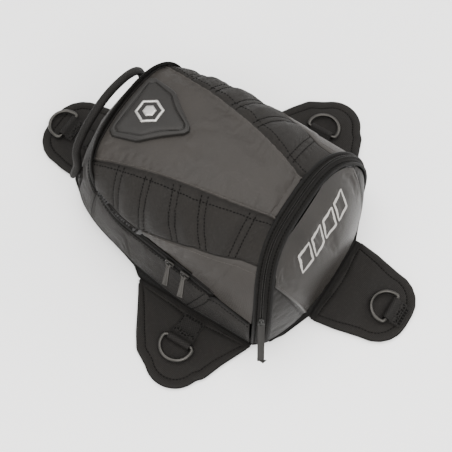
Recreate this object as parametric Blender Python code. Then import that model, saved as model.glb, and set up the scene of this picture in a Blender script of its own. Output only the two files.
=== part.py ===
"""Tank bag for a motorcycle: a soft box with a hinged lid, a front pocket and four flat mounting wings.

Blender 4.5, metres, +Z up. The bag stands on z = 0 with its front towards -Y, and x = 0 is its plane of
symmetry. The origin is under the middle of its outline, between the tips of the front and rear wings.
"""

import math

import bmesh
import bpy
from mathutils import Vector

# ---------------------------------------------------------------- driving dimensions (metres)
GAP = 0.0003               # between pieces that touch
SEAM = 0.0006              # between panels that are sewn edge to edge
FLOOR_T = 0.0040           # anti-slip base mat
BOARD_T = 0.0015           # stiffener that lies on the mat
SHELL_T = 0.0022           # fabric and foam of the bag's walls
LINING_T = 0.0016          # lining under the lid's panels
LINING_GAP = 0.0014
TAPE_W = 0.0050            # zip tape that shows on each side of the teeth
TAPE_T = 0.0014
TOOTH_W = 0.0022           # one row of zip teeth
TOOTH_T = 0.0026

# outline of the base, right half, from the middle of the front round to the middle of the rear
FRONT_Y = -0.1335
REAR_Y = 0.1605
SIDE_X = 0.1055            # straight side where a side wing is sewn on
MAT_REAR_Y = 0.1585
RING_LINE_Y = -0.0375      # line through the two side rings
BAND_X = 0.1050            # half width at the foot of the arch band
BAND_Y = -0.1000
FLAP_X = 0.0960            # half width at the foot of the front flap
FLAP_Y = -0.1110

# zip run of the lid: half width, y and height, from the arch band to the rear corner
ZIP_LINE = (
    (0.1030, -0.0965, 0.0500),
    (0.0980, -0.0495, 0.0570),
    (0.0880, 0.0575, 0.0760),
    (0.0750, 0.0955, 0.0880),
)
RIM_TOP = (0.1165, 0.1300)   # y and height of the lid's rear edge on the middle line
CREST = (0.0350, 0.1400)     # highest point of the lid
ARCH_TOP = (-0.0735, 0.1190)  # rear edge of the arch band on the middle line
ARCH_POWER = 2.9             # squareness of the arch
ARCH_LEAN = 3.5              # how late the arch starts to lean back
FLAP_TOP = (-0.0880, 0.1170)
FLAP_POWER = 3.24
FLAP_LEAN = 3.8
FLAP_BULGE = 0.0225          # how far the flap's middle stands out at its foot
FOLD_TOP_Y = ARCH_TOP[0] + 0.0050   # the lid folds on this line, just behind the arch band

# lid panels
TOP_PANEL_X = ((0.0630,), (0.0500,), (0.0385,), (0.0255,))  # half width from the rear to the front
WEDGE_FRONT_Z = 0.1045       # top of the side wedge at the arch band
WEDGE_REAR = (0.0420, 0.0980)  # y and height of the wedge's rear tip
SHIELD_Y = (0.0390, 0.1060)    # front tip and rear edge of the moulded shield
SHIELD_X = 0.0355
SHIELD_MID = (0.0304, 0.0765)
SHIELD_T = 0.0045
BADGE_X = 0.0120
BADGE_Y = (0.0720, 0.0960)

# wings: half width at the root, distance of the root, reach, half width near the tip
WING_T = (0.0024, 0.0014)    # lower sheet, upper sheet
MAGNET_R = 0.0110
MAGNET_T = 0.0014
STRAP_X = 0.0125             # half width of the webbing
STRAP_T = 0.0018
STRAP_START = 0.0040         # from the wing's root to the strap
STRAP_BEYOND = 0.0280        # strap past the ring's middle, where the ring lies turned inwards
STITCH_L = 0.0080            # length of strap sewn down behind the ring
WING_GAP = 0.0006
RING_WIRE = 0.0020           # radius of the ring's wire
RING_X = 0.0165              # half width to the middle of the wire
RING_L = 0.0210              # from the bar to the middle of the arc's wire

# handle
HANDLE_R = 0.0043
HANDLE_FOOT = (0.775, 0.44)    # place of its end on the tub's wall, along it and up it
HANDLE_LINE = ((0.0600, 0.1350, 0.0740), (0.0550, 0.1365, 0.0960), (0.0410, 0.1370, 0.1090),
               (0.0200, 0.1370, 0.1175), (0.0, 0.1365, 0.1215))
HANDLE_OFF = 0.0036            # from the wall to the anchor tab, and from the tab to the handle
ANCHOR_T = 0.0014

# sliders
SLIDER_L = 0.0100
SLIDER_W = 0.0070
SLIDER_T = 0.0026
SLIDER_CLEAR = 0.0018
PULL_L = 0.0200
PULL_W = 0.0066
PULL_T = 0.0014
PULL_LEAN = 45.0               # how far the pulls stand out from the bag, in degrees
PULL_SPLAY = 25.0              # how far the main pulls lie towards the front, in degrees
POCKET_PULL_L = 0.0340
SLIDER_SHARE = (("front_main", 0.30), ("rear_main", 0.47))   # places along the straight run of the zip
POCKET_SLIDER_Q = 0.115        # place along the arch

SIDES = (("left", -1.0), ("right", 1.0))


# ---------------------------------------------------------------- scene, materials and helpers
def clear_scene():
    for obj in list(bpy.data.objects):
        bpy.data.objects.remove(obj)


def material(name, colour, roughness, metallic=0.0):
    mat = bpy.data.materials.new(name)
    mat.use_nodes = True
    shader = mat.node_tree.nodes["Principled BSDF"]
    shader.inputs["Base Color"].default_value = (*colour, 1.0)
    shader.inputs["Roughness"].default_value = roughness
    shader.inputs["Metallic"].default_value = metallic
    mat.diffuse_color = (*colour, 1.0)
    return mat


def add_object(name, mesh, mat, parent=None):
    obj = bpy.data.objects.new(name, mesh)
    PARTS.objects.link(obj)
    if mesh is not None:
        mesh.materials.append(mat)
    if parent is not None:
        obj.parent = parent
        obj.matrix_parent_inverse = parent.matrix_world.inverted()
    return obj


def pivot(name, place, parent=None):
    """An empty on a joint's axis; the pieces that move with the joint hang from it."""
    obj = bpy.data.objects.new(name, None)
    obj.empty_display_size = 0.02
    PARTS.objects.link(obj)
    obj.location = place
    if parent is not None:
        obj.parent = parent
        obj.location = Vector(place) - parent.matrix_world.translation
    bpy.context.view_layer.update()
    return obj


def mesh_from(name, points, faces):
    """A closed mesh with its faces turned outward."""
    mesh = bpy.data.meshes.new(name)
    mesh.from_pydata([tuple(p) for p in points], [], faces)
    work = bmesh.new()
    work.from_mesh(mesh)
    bmesh.ops.recalc_face_normals(work, faces=work.faces)
    work.to_mesh(mesh)
    work.free()
    mesh.update()
    return mesh


def modifier(obj, kind, **values):
    mod = obj.modifiers.new(kind.lower(), kind)
    for key, value in values.items():
        setattr(mod, key, value)
    return mod


def lerp(a, b, t):
    return a + (b - a) * t


def smooth_value(points, t):
    """A Catmull-Rom curve through tuples of the same length, t from 0 to 1 over the whole of it."""
    last = len(points) - 1
    k = min(int(t * last), last - 1)
    f = t * last - k
    p = [points[min(max(k + i, 0), last)] for i in (-1, 0, 1, 2)]
    out = []
    for a, b, c, d in zip(*p):
        out.append(0.5 * (2 * b + (c - a) * f + (2 * a - 5 * b + 4 * c - d) * f * f
                          + (3 * b - 3 * c + d - a) * f ** 3))
    return out


def normal_of(surface, a, b, step=0.004):
    """Unit normal of surface(a, b), to the left of its first direction seen from outside."""
    da = surface(min(a + step, 1.0), b) - surface(max(a - step, 0.0), b)
    db = surface(a, min(b + step, 1.0)) - surface(a, max(b - step, 0.0))
    return da.cross(db).normalized()


def shell(name, surface, a_values, b_range, rows, depth, mat, parent, flip=False):
    """A closed panel between two depths under surface(a, b); b_range gives the panel's b limits at each a."""
    outer, inner = [], []
    for a in a_values:
        low, high = b_range(a)
        for j in range(rows + 1):
            b = lerp(low, high, j / rows)
            point = surface(a, b)
            n = normal_of(surface, a, b) * (-1.0 if flip else 1.0)
            outer.append(point - n * depth[0])
            inner.append(point - n * depth[1])
    wide = rows + 1
    half = len(outer)
    last = len(a_values) - 1
    faces = []
    for i in range(last):
        for j in range(rows):
            k = i * wide + j
            faces.append((k, k + wide, k + wide + 1, k + 1))
            faces.append((half + k, half + k + 1, half + k + wide + 1, half + k + wide))
    edge = [j for j in range(wide)]
    edge += [i * wide + rows for i in range(1, last + 1)]
    edge += [last * wide + j for j in range(rows - 1, -1, -1)]
    edge += [i * wide for i in range(last - 1, 0, -1)]
    for k, a in enumerate(edge):
        b = edge[(k + 1) % len(edge)]
        faces.append((a, b, half + b, half + a))
    if flip:
        faces = [tuple(reversed(f)) for f in faces]
    return add_object(name, mesh_from(name, outer + inner, faces), mat, parent)


def spread(low, high, count):
    return [lerp(low, high, i / count) for i in range(count + 1)]


# ---------------------------------------------------------------- the bag's surfaces
def zip_point(t):
    """On the right-hand zip run: t = 0 at the arch band, 1/3 at the end of the zip, 1 at the rear corner."""
    last = len(ZIP_LINE) - 1
    k = min(int(t * last), last - 1)
    f = t * last - k
    a, b = Vector(ZIP_LINE[k]), Vector(ZIP_LINE[k + 1])
    if k < last - 1:
        return a.lerp(b, f)
    before = a - Vector(ZIP_LINE[k - 1])
    bend = a + before.normalized() * (b - a).length * 0.5
    return a * (1 - f) ** 2 + bend * 2 * f * (1 - f) + b * f * f


def arch_edge(half_x, top, foot_y, power, lean, q):
    """Edge of the arch band, q from 0 at its left foot to 1 at its right foot."""
    angle = math.pi * q
    c, s = math.cos(angle), math.sin(angle)
    x = -half_x * math.copysign(abs(c) ** (2 / power), c)
    share = max(s, 0.0) ** (2 / power)
    z = lerp(FLOOR_T + GAP, top[1], share)
    return Vector((x, lerp(foot_y, top[0], share ** lean), z))


def outer_arch(q):
    return arch_edge(BAND_X, ARCH_TOP, BAND_Y, ARCH_POWER, ARCH_LEAN, q)


def inner_arch(q):
    return arch_edge(FLAP_X, FLAP_TOP, FLAP_Y, FLAP_POWER, FLAP_LEAN, q)


def arch_share(height):
    """The q at which the outer edge of the band reaches a height, on its left leg."""
    share = (height - FLOOR_T - GAP) / (ARCH_TOP[1] - FLOOR_T - GAP)
    return math.asin(share ** (ARCH_POWER / 2)) / math.pi


def band_surface(q, t):
    """The arch band: t = 0 along its rear edge, 1 along its edge to the flap."""
    a, b = outer_arch(q), inner_arch(q)
    middle = Vector((0.0, BAND_Y, 0.0))
    out = ((a + b) / 2 - middle).normalized()
    return a.lerp(b, t) + out * 0.0025 * math.sin(math.pi * t)


def lid_arch(foot, top, power, v):
    """Arch from the left foot (v = 0) over the top (v = 0.5) to the right foot (v = 1)."""
    angle = math.pi * v
    c, s = math.cos(angle), math.sin(angle)
    x = -foot[0] * math.copysign(abs(c) ** (2 / power), c)
    share = max(s, 0.0) ** (2 / power)
    return Vector((x, lerp(foot[1], top[0], share), lerp(foot[2], top[1], share)))


FOLD_U = 0.80   # u of the fold line; the lid lies behind it


def lid_surface(v, u):
    """The lid: u = 0 at its rear edge, FOLD_U at the fold line, 1 at the arch band; v runs across it."""
    if u <= FOLD_U:
        t = u / FOLD_U
        foot = zip_point(1 - t * 2 / 3)
        ridge = (RIM_TOP, CREST, (-0.0250, 0.1335), (FOLD_TOP_Y, ARCH_TOP[1] + 0.0012))
        top = smooth_value(ridge, t)
        power = smooth_value(((2.5,), (2.75,), (2.7,), (2.45,)), t)[0]
        return lid_arch(foot, top, power, v)
    t = (u - FOLD_U) / (1 - FOLD_U)
    fold = lid_surface(v, FOLD_U)
    low = arch_share(ZIP_LINE[0][2])
    band = outer_arch(lerp(low, 1 - low, v))
    return fold.lerp(band, t)


def lid_v_at(u, height=None, half_x=None):
    """The v on the lid's left half where it reaches a height or a half width."""
    low, high = 0.0, 0.5
    for _ in range(30):
        v = (low + high) / 2
        p = lid_surface(v, u)
        past = p.z > height if height is not None else -p.x < half_x
        low, high = (low, v) if past else (v, high)
    return (low + high) / 2


def base_point(t):
    """Outline of the tub at the floor, right half: t = 0 beside the arch band, 1 at the middle of the rear."""
    outline = ((BAND_X, BAND_Y + 0.0015), (0.1050, -0.0680), (0.1050, -0.0200), (0.0985, 0.0300),
               (0.0915, 0.0600), (0.0790, 0.1060), (0.0600, 0.1400), (0.0330, 0.1555), (0.0, REAR_Y))
    x, y = smooth_value(outline, t)
    return Vector((x, y, FLOOR_T + GAP))


def rim_point(t):
    """Top edge of the tub, right half: along the zip run, then up and over the lid's rear edge."""
    corner = 0.62
    if t <= corner:
        return zip_point(t / corner)
    v = lerp(1.0, 0.5, (t - corner) / (1 - corner))
    p = lid_surface(v, 0.0)
    return p + Vector((0.0, GAP * 2, -GAP))


def tub_surface(t, k):
    """The tub's wall, right half: t along it as in rim_point, k = 0 at the floor and 1 at the rim."""
    a, b = base_point(t), rim_point(t)
    out = Vector((a.x, (a.y + 0.02) * 0.6, 0.0)).normalized()
    return a.lerp(b, k) + out * 0.0040 * math.sin(math.pi * k)


def wall_top(t):
    """The k at which the tub's panels stop, below the zip tape."""
    a, b = base_point(t), rim_point(t)
    down = (a - b).normalized()
    along = (rim_point(min(t + 0.01, 1.0)) - rim_point(max(t - 0.01, 0.0))).normalized()
    return 1 - (TAPE_W + TOOTH_W + SEAM * 2) / (b - a).length / down.cross(along).length


def flap_half(share):
    """Half width and y of the flap's edge at a share of its height."""
    s = min(max(share, 0.0), 1.0) ** (FLAP_POWER / 2)
    c = math.sqrt(max(1 - s * s, 0.0))
    return FLAP_X * c ** (2 / FLAP_POWER), lerp(FLAP_Y, FLAP_TOP[0], min(max(share, 0.0), 1.0) ** FLAP_LEAN)


def flap_y(x, z):
    """The flap's bulged face as a height field over x and z."""
    share = (z - FLOOR_T) / (FLAP_TOP[1] - FLOOR_T)
    half, edge = flap_half(share)
    swell = FLAP_BULGE * (1 - max(share, 0.0) ** 3.2) * (1 - 0.22 * max(0.0, 1 - share / 0.2) ** 2)
    across = min(abs(x) / max(half, 1e-4), 1.0)
    return edge - swell * (1 - across ** 2.6)


# ---------------------------------------------------------------- root: base, tub and the nose
def base_outline():
    """Right half of the mat's outline from the front to the rear, straight where wings are sewn on."""
    right = [(0.0, FRONT_Y), (0.0470, FRONT_Y), (0.0800, -0.1215), (FLAP_X + 0.0030, -0.1085),
             (SIDE_X, -0.1000), (SIDE_X, 0.0360), (0.0970, 0.0470), (0.0915, 0.0640), (0.0790, 0.1070), (0.0600, 0.1405),
             (0.0460, MAT_REAR_Y), (0.0, MAT_REAR_Y)]
    return right + [(-x, y) for x, y in reversed(right[1:-1])]


def plate(name, outline, low, high, mat, parent=None):
    """A flat plate with the outline given anticlockwise, between two heights."""
    n = len(outline)
    points = [Vector((x, y, low)) for x, y in outline] + [Vector((x, y, high)) for x, y in outline]
    faces = [tuple(reversed(range(n))), tuple(range(n, 2 * n))]
    faces += [(i, (i + 1) % n, n + (i + 1) % n, n + i) for i in range(n)]
    return add_object(name, mesh_from(name, points, faces), mat, parent)


def make_base():
    plate("base_mat", base_outline(), 0.0, FLOOR_T, MATS["mat"])
    inset = SHELL_T + 0.0045
    right = [base_point(t) for t in spread(0.0, 1.0, 14)]
    board = [(0.0, -0.0850)]
    board += [(p.x - inset, min(p.y, REAR_Y - inset * 1.5)) for p in right[:-1]]
    board = [p for p in board if p[1] > -0.0950]
    board += [(0.0, REAR_Y - inset * 1.5)]
    board += [(-x, y) for x, y in reversed(board[1:-1])]
    plate("floor_board", board, FLOOR_T + GAP, FLOOR_T + GAP + BOARD_T, MATS["board"])


def mirrored(surface):
    """The same surface on the left side; its normal turns over, so shells made from it are flipped."""
    def other(a, b):
        p = surface(a, b)
        return Vector((-p.x, p.y, p.z))
    return other


def make_tub():
    """Nose walls in front of the end of the zip, side walls behind it, and one rear wall."""
    zip_end, corner = 0.62 / 3, 0.66
    bite, foot = 0.004, 0.010
    for name, side in SIDES:
        surface = tub_surface if side > 0 else mirrored(tub_surface)
        flip = side < 0
        low = spread(0.012, zip_end - bite, 3)
        shell(f"nose_wall_{name}", surface, low, lambda t: (foot, 0.985), 3, (0.0, SHELL_T),
              MATS["nylon"], None, flip)
        behind = spread(zip_end + bite, corner - bite, 9)
        shell(f"tub_wall_{name}", surface, behind, lambda t: (foot, wall_top(t)), 4, (0.0, SHELL_T),
              MATS["nylon"], None, flip)

    def rear(a, k):
        """a = 0 at the right corner, 1 at the left one."""
        if a <= 0.5:
            return tub_surface(lerp(corner + bite, 1.0, a * 2), k)
        p = tub_surface(lerp(corner + bite, 1.0, (1 - a) * 2), k)
        return Vector((-p.x, p.y, p.z))

    def rear_top(a):
        t = lerp(corner + bite, 1.0, min(a, 1 - a) * 2)
        return foot, wall_top(t)

    shell("tub_wall_rear", rear, spread(0.0, 1.0, 16), rear_top, 5, (0.0, SHELL_T), MATS["nylon"], None)


def rim_path():
    """Points of the zip line from its right end round the rear to its left end, with two directions each:
    outward from the bag's surface, and up into the lid along that surface."""
    zip_end = 0.62 / 3
    steps = [(rim_point(t), t) for t in spread(zip_end, 1.0, 30)]
    right = []
    for p, t in steps:
        a, b = rim_point(max(t - 0.01, 0.0)), rim_point(min(t + 0.01, 1.0))
        along = (b - a).normalized()
        if t > 0.999:
            along = Vector((-1.0, 0.0, 0.0))
        down = (base_point(t) - p).normalized()
        into = (-down - along * (-down).dot(along)).normalized()
        outward = along.cross(into).normalized()
        right.append((p, outward, into))
    left = [(Vector((-p.x, p.y, p.z)), Vector((-o.x, o.y, o.z)), Vector((-i.x, i.y, i.z)))
            for p, o, i in reversed(right[:-1])]
    return right + left


def ribbon(name, path, across, depth, mat, parent=None):
    """A strip along the path: across and depth give its limits along the two directions of each point."""
    points, faces = [], []
    for p, outward, into in path:
        for s, d in ((across[0], depth[0]), (across[1], depth[0]), (across[1], depth[1]), (across[0], depth[1])):
            points.append(p + into * s - outward * d)
    for i in range(len(path) - 1):
        for j in range(4):
            k, m = i * 4 + j, i * 4 + (j + 1) % 4
            faces.append((k, k + 4, m + 4, m))
    faces.append((0, 1, 2, 3))
    end = (len(path) - 1) * 4
    faces.append((end + 3, end + 2, end + 1, end))
    return add_object(name, mesh_from(name, points, faces), mat, parent)


def make_zip(lid):
    """Lower tape with its teeth on the tub, upper tape with its teeth on the lid."""
    path = rim_path()
    ribbon("tub_zip_tape", path, (-TAPE_W - TOOTH_W, -GAP / 2), (0.0, TAPE_T), MATS["tape"])
    ribbon("lid_zip_tape", path, (GAP / 2, TAPE_W + TOOTH_W), (0.0, TAPE_T), MATS["tape"], lid)


def make_arch():
    """The fixed half of the arch band with its row of teeth, and the bulkhead behind the pocket."""
    low, high = 0.004, 0.996
    shell("arch_band", band_surface, spread(low, high, 28), lambda q: (0.03, 0.40), 2, (0.0, SHELL_T),
          MATS["nylon"], None, True)
    shell("arch_zip_teeth", band_surface, spread(low, high, 28), lambda q: (0.42, 0.49), 1,
          (0.0002, TOOTH_T), MATS["tape"], None, True)

    def bulkhead(q, r):
        """From the band's rear edge (r = 1) to the middle of the bulkhead (r = 0)."""
        edge = outer_arch(q)
        inside = Vector((edge.x * 0.955, edge.y + 0.0030, lerp(FLOOR_T + 0.0020, edge.z, 0.965)))
        middle = Vector((0.0, BAND_Y + 0.0060, 0.045))
        return middle.lerp(inside, r)

    disc("pocket_divider", bulkhead, 24, (1.0, 0.66, 0.33), 0.0014, MATS["lining"], None)


def disc(name, surface, count, rings, thick, mat, parent):
    """A thin plate over surface(q, r), closed along its straight foot, thick along +Y."""
    points, faces = [], []
    for side in range(2):
        for r in rings:
            for i in range(count + 1):
                points.append(surface(lerp(0.006, 0.994, i / count), r) + Vector((0.0, thick * side, 0.0)))
        points.append(surface(0.5, 0.0) + Vector((0.0, thick * side, 0.0)))
    wide = count + 1
    per = wide * len(rings) + 1
    for side in range(2):
        o = side * per
        for k in range(len(rings) - 1):
            for i in range(wide):
                j = (i + 1) % wide
                f = (o + k * wide + i, o + (k + 1) * wide + i, o + (k + 1) * wide + j, o + k * wide + j)
                faces.append(f if side else tuple(reversed(f)))
        k = (len(rings) - 1) * wide
        for i in range(wide):
            f = (o + k + i, o + per - 1, o + k + (i + 1) % wide)
            faces.append(f if side else tuple(reversed(f)))
    for i in range(wide):
        j = (i + 1) % wide
        faces.append((i, per + i, per + j, j))
    return add_object(name, mesh_from(name, points, faces), mat, parent)


# ---------------------------------------------------------------- lid
def panel_limits(u):
    """v on the left half: zip tape's edge, top of the wedge, edge of the top panel."""
    foot_z = lid_surface(0.0, u).z
    low = lid_v_at(u, height=foot_z + TAPE_W + TOOTH_W + SEAM * 3)
    y = lid_surface(low, u).y
    share = (WEDGE_REAR[0] - y) / (WEDGE_REAR[0] - ZIP_LINE[0][1])
    wedge_z = lerp(WEDGE_REAR[1], WEDGE_FRONT_Z, min(max(share, 0.0), 1.0))
    wedge = lid_v_at(u, height=wedge_z)
    half = smooth_value(TOP_PANEL_X, min(u / FOLD_U, 1.0))[0]
    return low, wedge, lid_v_at(u, half_x=half)


def make_lid(lid):
    rear_u = 0.075      # clear of the zip tape along the rear edge
    fold = FOLD_U - 0.004
    wedge_u = 0.32      # the wedge starts here
    seam_v = 0.0012
    nose_u = FOLD_U + 0.006
    end_u = 0.985

    def rotated(u, v):
        return lid_surface(v, u)

    def top(u):
        edge = panel_limits(u)[2]
        return edge + seam_v, 1 - edge - seam_v

    shell("top_panel", rotated, spread(rear_u, fold, 12), top, 10, (0.0, SHELL_T), MATS["coated"], lid)

    for name, side in SIDES:
        surface = rotated if side < 0 else mirrored(rotated)
        flip = side > 0

        def quilt(u):
            low, wedge, edge = panel_limits(u)
            start = low if u < wedge_u else wedge + seam_v
            return start, edge - seam_v

        def wedge(u):
            low, top_v, _ = panel_limits(u)
            return low, top_v - seam_v

        shell(f"quilt_panel_{name}", surface, spread(rear_u, wedge_u - 0.004, 4) + spread(wedge_u, fold, 7),
              quilt, 6, (0.0, SHELL_T), MATS["nylon"], lid, flip)
        shell(f"wedge_panel_{name}", surface, spread(wedge_u + 0.004, fold, 6), wedge, 4,
              (0.0, SHELL_T), MATS["coated"], lid, flip)
        shell(f"nose_quilt_{name}", surface, spread(nose_u, end_u, 2),
              lambda u: (panel_limits(u)[1] + seam_v, 0.498), 8, (0.0, SHELL_T), MATS["nylon"], None, flip)
        shell(f"nose_wedge_{name}", surface, spread(nose_u, end_u, 2),
              lambda u: (0.015, panel_limits(u)[1] - seam_v), 2, (0.0, SHELL_T), MATS["coated"], None, flip)

    shell("lid_lining", rotated, spread(rear_u, fold, 10), lambda u: (0.055, 0.945), 18,
          (SHELL_T + LINING_GAP, SHELL_T + LINING_GAP + LINING_T), MATS["lining"], lid)


def lid_height(x, y):
    """Height of the lid's outer surface over a point of the plan."""
    low, high = 0.0, FOLD_U
    for _ in range(30):
        u = (low + high) / 2
        v = lid_v_at(u, half_x=max(abs(x), 1e-4))
        low, high = (u, high) if lid_surface(v, u).y > y else (low, u)
    return lid_surface(lid_v_at((low + high) / 2, half_x=max(abs(x), 1e-4)), (low + high) / 2).z


def lid_plate(name, outline, lift, thick, mat, lid, steps=1):
    """A moulded plate that follows the lid: the outline is a list of plan points, closed."""
    cx = sum(p[0] for p in outline) / len(outline)
    cy = sum(p[1] for p in outline) / len(outline)
    points, faces = [], []
    rings = [1 - k / (steps + 1) for k in range(steps + 1)]
    n = len(outline)
    for side, up in enumerate((lift, lift + thick)):
        for r in rings:
            for x, y in outline:
                px, py = lerp(cx, x, r), lerp(cy, y, r)
                points.append(Vector((px, py, lid_height(px, py) + up)))
        points.append(Vector((cx, cy, lid_height(cx, cy) + up)))
    per = n * len(rings) + 1
    for side in range(2):
        o = side * per
        for k in range(len(rings) - 1):
            for i in range(n):
                f = (o + k * n + i, o + k * n + (i + 1) % n, o + (k + 1) * n + (i + 1) % n, o + (k + 1) * n + i)
                faces.append(f if side else tuple(reversed(f)))
        k = (len(rings) - 1) * n
        for i in range(n):
            f = (o + k + i, o + k + (i + 1) % n, o + per - 1)
            faces.append(f if side else tuple(reversed(f)))
    for i in range(n):
        j = (i + 1) % n
        faces.append((i, j, per + j, per + i))
    return add_object(name, mesh_from(name, points, faces), mat, lid)


def make_emblem(lid):
    """A moulded shield near the rear of the top panel, and a plain badge set on it."""
    front, rear = SHIELD_Y
    right = [(0.0, front), (0.0040, front + 0.0025), (0.0180, front + 0.0200), (SHIELD_MID[0], SHIELD_MID[1]),
             (SHIELD_X, rear - 0.0030), (SHIELD_X - 0.0025, rear), (0.0, rear + 0.0010)]
    shield = right + [(-x, y) for x, y in reversed(right[1:-1])]
    lid_plate("emblem_shield", shield, GAP * 2, SHIELD_T, MATS["moulded"], lid, 2)
    y0, y1 = BADGE_Y
    step = 0.0035
    badge = [(-BADGE_X + step, y0), (BADGE_X - step, y0), (BADGE_X, y0 + step), (BADGE_X, y1 - step),
             (BADGE_X - step, y1), (-BADGE_X + step, y1), (-BADGE_X, y1 - step), (-BADGE_X, y0 + step)]
    lid_plate("emblem_badge", badge, SHIELD_T + GAP * 4, 0.0015, MATS["silver"], lid)


# ---------------------------------------------------------------- front flap
def make_flap(flap):
    low, high = 0.004, 0.996
    shell("flap_band", band_surface, spread(low, high, 28), lambda q: (0.60, 0.92), 2, (0.0, SHELL_T),
          MATS["nylon"], flap, True)
    shell("flap_zip_teeth", band_surface, spread(low, high, 28), lambda q: (0.51, 0.58), 1,
          (0.0002, TOOTH_T), MATS["tape"], flap, True)

    z_low = FLOOR_T + GAP * 3
    inset = 0.0022              # from the edge of the arch band to the flap's panels
    z_high = FLAP_TOP[1] - inset - 0.0008

    def seam_x(z):
        """Half width of the flap's middle panel."""
        return lerp(0.0500, 0.0760, (z - z_low) / (0.0995 - z_low))

    def edge_x(z):
        return flap_half((z + inset - FLOOR_T) / (FLAP_TOP[1] - FLOOR_T))[0] - inset

    def field(name, x_low, x_high, rows, columns, mat):
        """A closed panel of the flap between two limits of x at each height."""
        points, faces = [], []
        for side in range(2):
            for z in rows:
                a, b = x_low(z), x_high(z)
                for j in range(columns + 1):
                    x = lerp(a, b, j / columns)
                    points.append(Vector((x, flap_y(x, z) + SHELL_T * side, z)))
        wide = columns + 1
        half = wide * len(rows)
        for side in range(2):
            for i in range(len(rows) - 1):
                for j in range(columns):
                    k = side * half + i * wide + j
                    f = (k, k + 1, k + wide + 1, k + wide)
                    faces.append(tuple(reversed(f)) if side else f)
        last = len(rows) - 1
        edge = [j for j in range(wide)] + [i * wide + columns for i in range(1, last + 1)]
        edge += [last * wide + j for j in range(columns - 1, -1, -1)] + [i * wide for i in range(last - 1, 0, -1)]
        for k, a in enumerate(edge):
            b = edge[(k + 1) % len(edge)]
            faces.append((b, a, half + a, half + b))
        add_object(name, mesh_from(name, points, faces), mat, flap)

    heights = [lerp(z_low, z_high, 1 - (1 - k / 12) ** 1.6) for k in range(13)]
    meet = 0.0990
    field("flap_panel", lambda z: -min(seam_x(z), edge_x(z)), lambda z: min(seam_x(z), edge_x(z)), heights,
          12, MATS["glossy"])
    side_rows = spread(z_low, meet - 0.0060, 8)
    for name, side in SIDES:
        near = lambda z: seam_x(z) + SEAM
        far = edge_x
        if side > 0:
            field(f"flap_gusset_{name}", near, far, side_rows, 3, MATS["coated"])
        else:
            field(f"flap_gusset_{name}", lambda z: -far(z), lambda z: -near(z), side_rows, 3, MATS["coated"])


# ---------------------------------------------------------------- wings, straps, rings
def corner_arc(centre, radius, start, end, count):
    """Points on an arc in the plan, angles in degrees."""
    angles = [math.radians(lerp(start, end, k / count)) for k in range(count + 1)]
    return [(centre[0] + radius * math.cos(a), centre[1] + radius * math.sin(a)) for a in angles]


def end_wing_outline(reach, root_half, tip_half, radius):
    """Outline of the front or rear wing, from its root at x = 0: straight sides and a round tip."""
    side = [(WING_GAP, root_half), (reach * 0.30, lerp(root_half, tip_half, 0.35))]
    side += corner_arc((reach - radius, tip_half - radius), radius, 90, 0, 5)
    return [(x, -y) for x, y in side] + list(reversed(side))


def side_wing_outline(reach):
    """Outline of a side wing, from its root at x = 0: a wide root and a round tip set back from its middle."""
    front = [(WING_GAP, -0.0630), (0.0080, -0.0590), (reach * 0.40, -0.0480), (reach * 0.66, -0.0405)]
    tip = corner_arc((reach - 0.0300, -0.0060), 0.0300, -75, 45, 8)
    rear = [(reach * 0.78, 0.0320), (reach * 0.59, 0.0430), (reach * 0.25, 0.0595), (WING_GAP, 0.0720)]
    return front + tip + rear


def wing_frame(direction, root, mirror):
    """Turns a wing's own x and y into the plan: direction in quarter turns from +X."""
    c, s = round(math.cos(math.pi / 2 * direction)), round(math.sin(math.pi / 2 * direction))

    def place(x, y):
        y = -y if mirror else y
        return root[0] + c * x - s * y, root[1] + s * x + c * y
    return place


def cut_by(obj, cutter):
    modifier(obj, "BOOLEAN", operation="DIFFERENCE", object=cutter)
    cutter.hide_render = True
    cutter.display_type = "WIRE"


def cylinder(name, radius, place, low, high, collection):
    bpy.ops.mesh.primitive_cylinder_add(vertices=24, radius=radius, depth=high - low,
                                        location=(*place, (low + high) / 2))
    obj = bpy.context.object
    obj.name = name
    for other in list(obj.users_collection):
        other.objects.unlink(obj)
    collection.objects.link(obj)
    return obj


def make_wing(name, direction, root, outline, ring_at, flipped, mirror=False):
    """Two sheets with a magnet between them, a webbing strap with a loop, and a ring in the loop."""
    place = wing_frame(direction, root, mirror)
    centre = pivot(f"{name}_wing_axis", (*root, FLOOR_T + GAP))
    edge = [place(x, y) for x, y in outline]
    lower, upper = WING_T
    under = plate(f"{name}_wing_underside", edge, 0.0, lower, MATS["mat"], centre)
    plate(f"{name}_wing_cover", edge, lower + GAP, lower + GAP + upper, MATS["nylon"], centre)
    spot = place(ring_at, 0.0)
    pocket = cylinder(f"{name}_magnet_pocket", MAGNET_R + GAP, spot, lower - MAGNET_T - GAP, lower + upper, CUTTERS)
    cut_by(under, pocket)
    magnet = cylinder(f"{name}_wing_magnet", MAGNET_R, spot, lower - MAGNET_T, lower, PARTS)
    magnet.data.materials.append(MATS["magnet"])
    magnet.parent = centre
    magnet.matrix_parent_inverse = centre.matrix_world.inverted()
    strap_and_ring(name, place, lower + GAP + upper, ring_at, flipped, centre)


def wrap_arc(centre, radius, away, falling=False, count=9):
    """Three quarters of a circle in the strap's side view, from below the bar round its far side to its near side."""
    angles = [math.radians(lerp(-90, 180, k / count)) for k in range(count + 1)]
    points = [(centre[0] + away * radius * math.cos(a), centre[1] + radius * math.sin(a)) for a in angles]
    return list(reversed(points)) if falling else points


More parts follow.
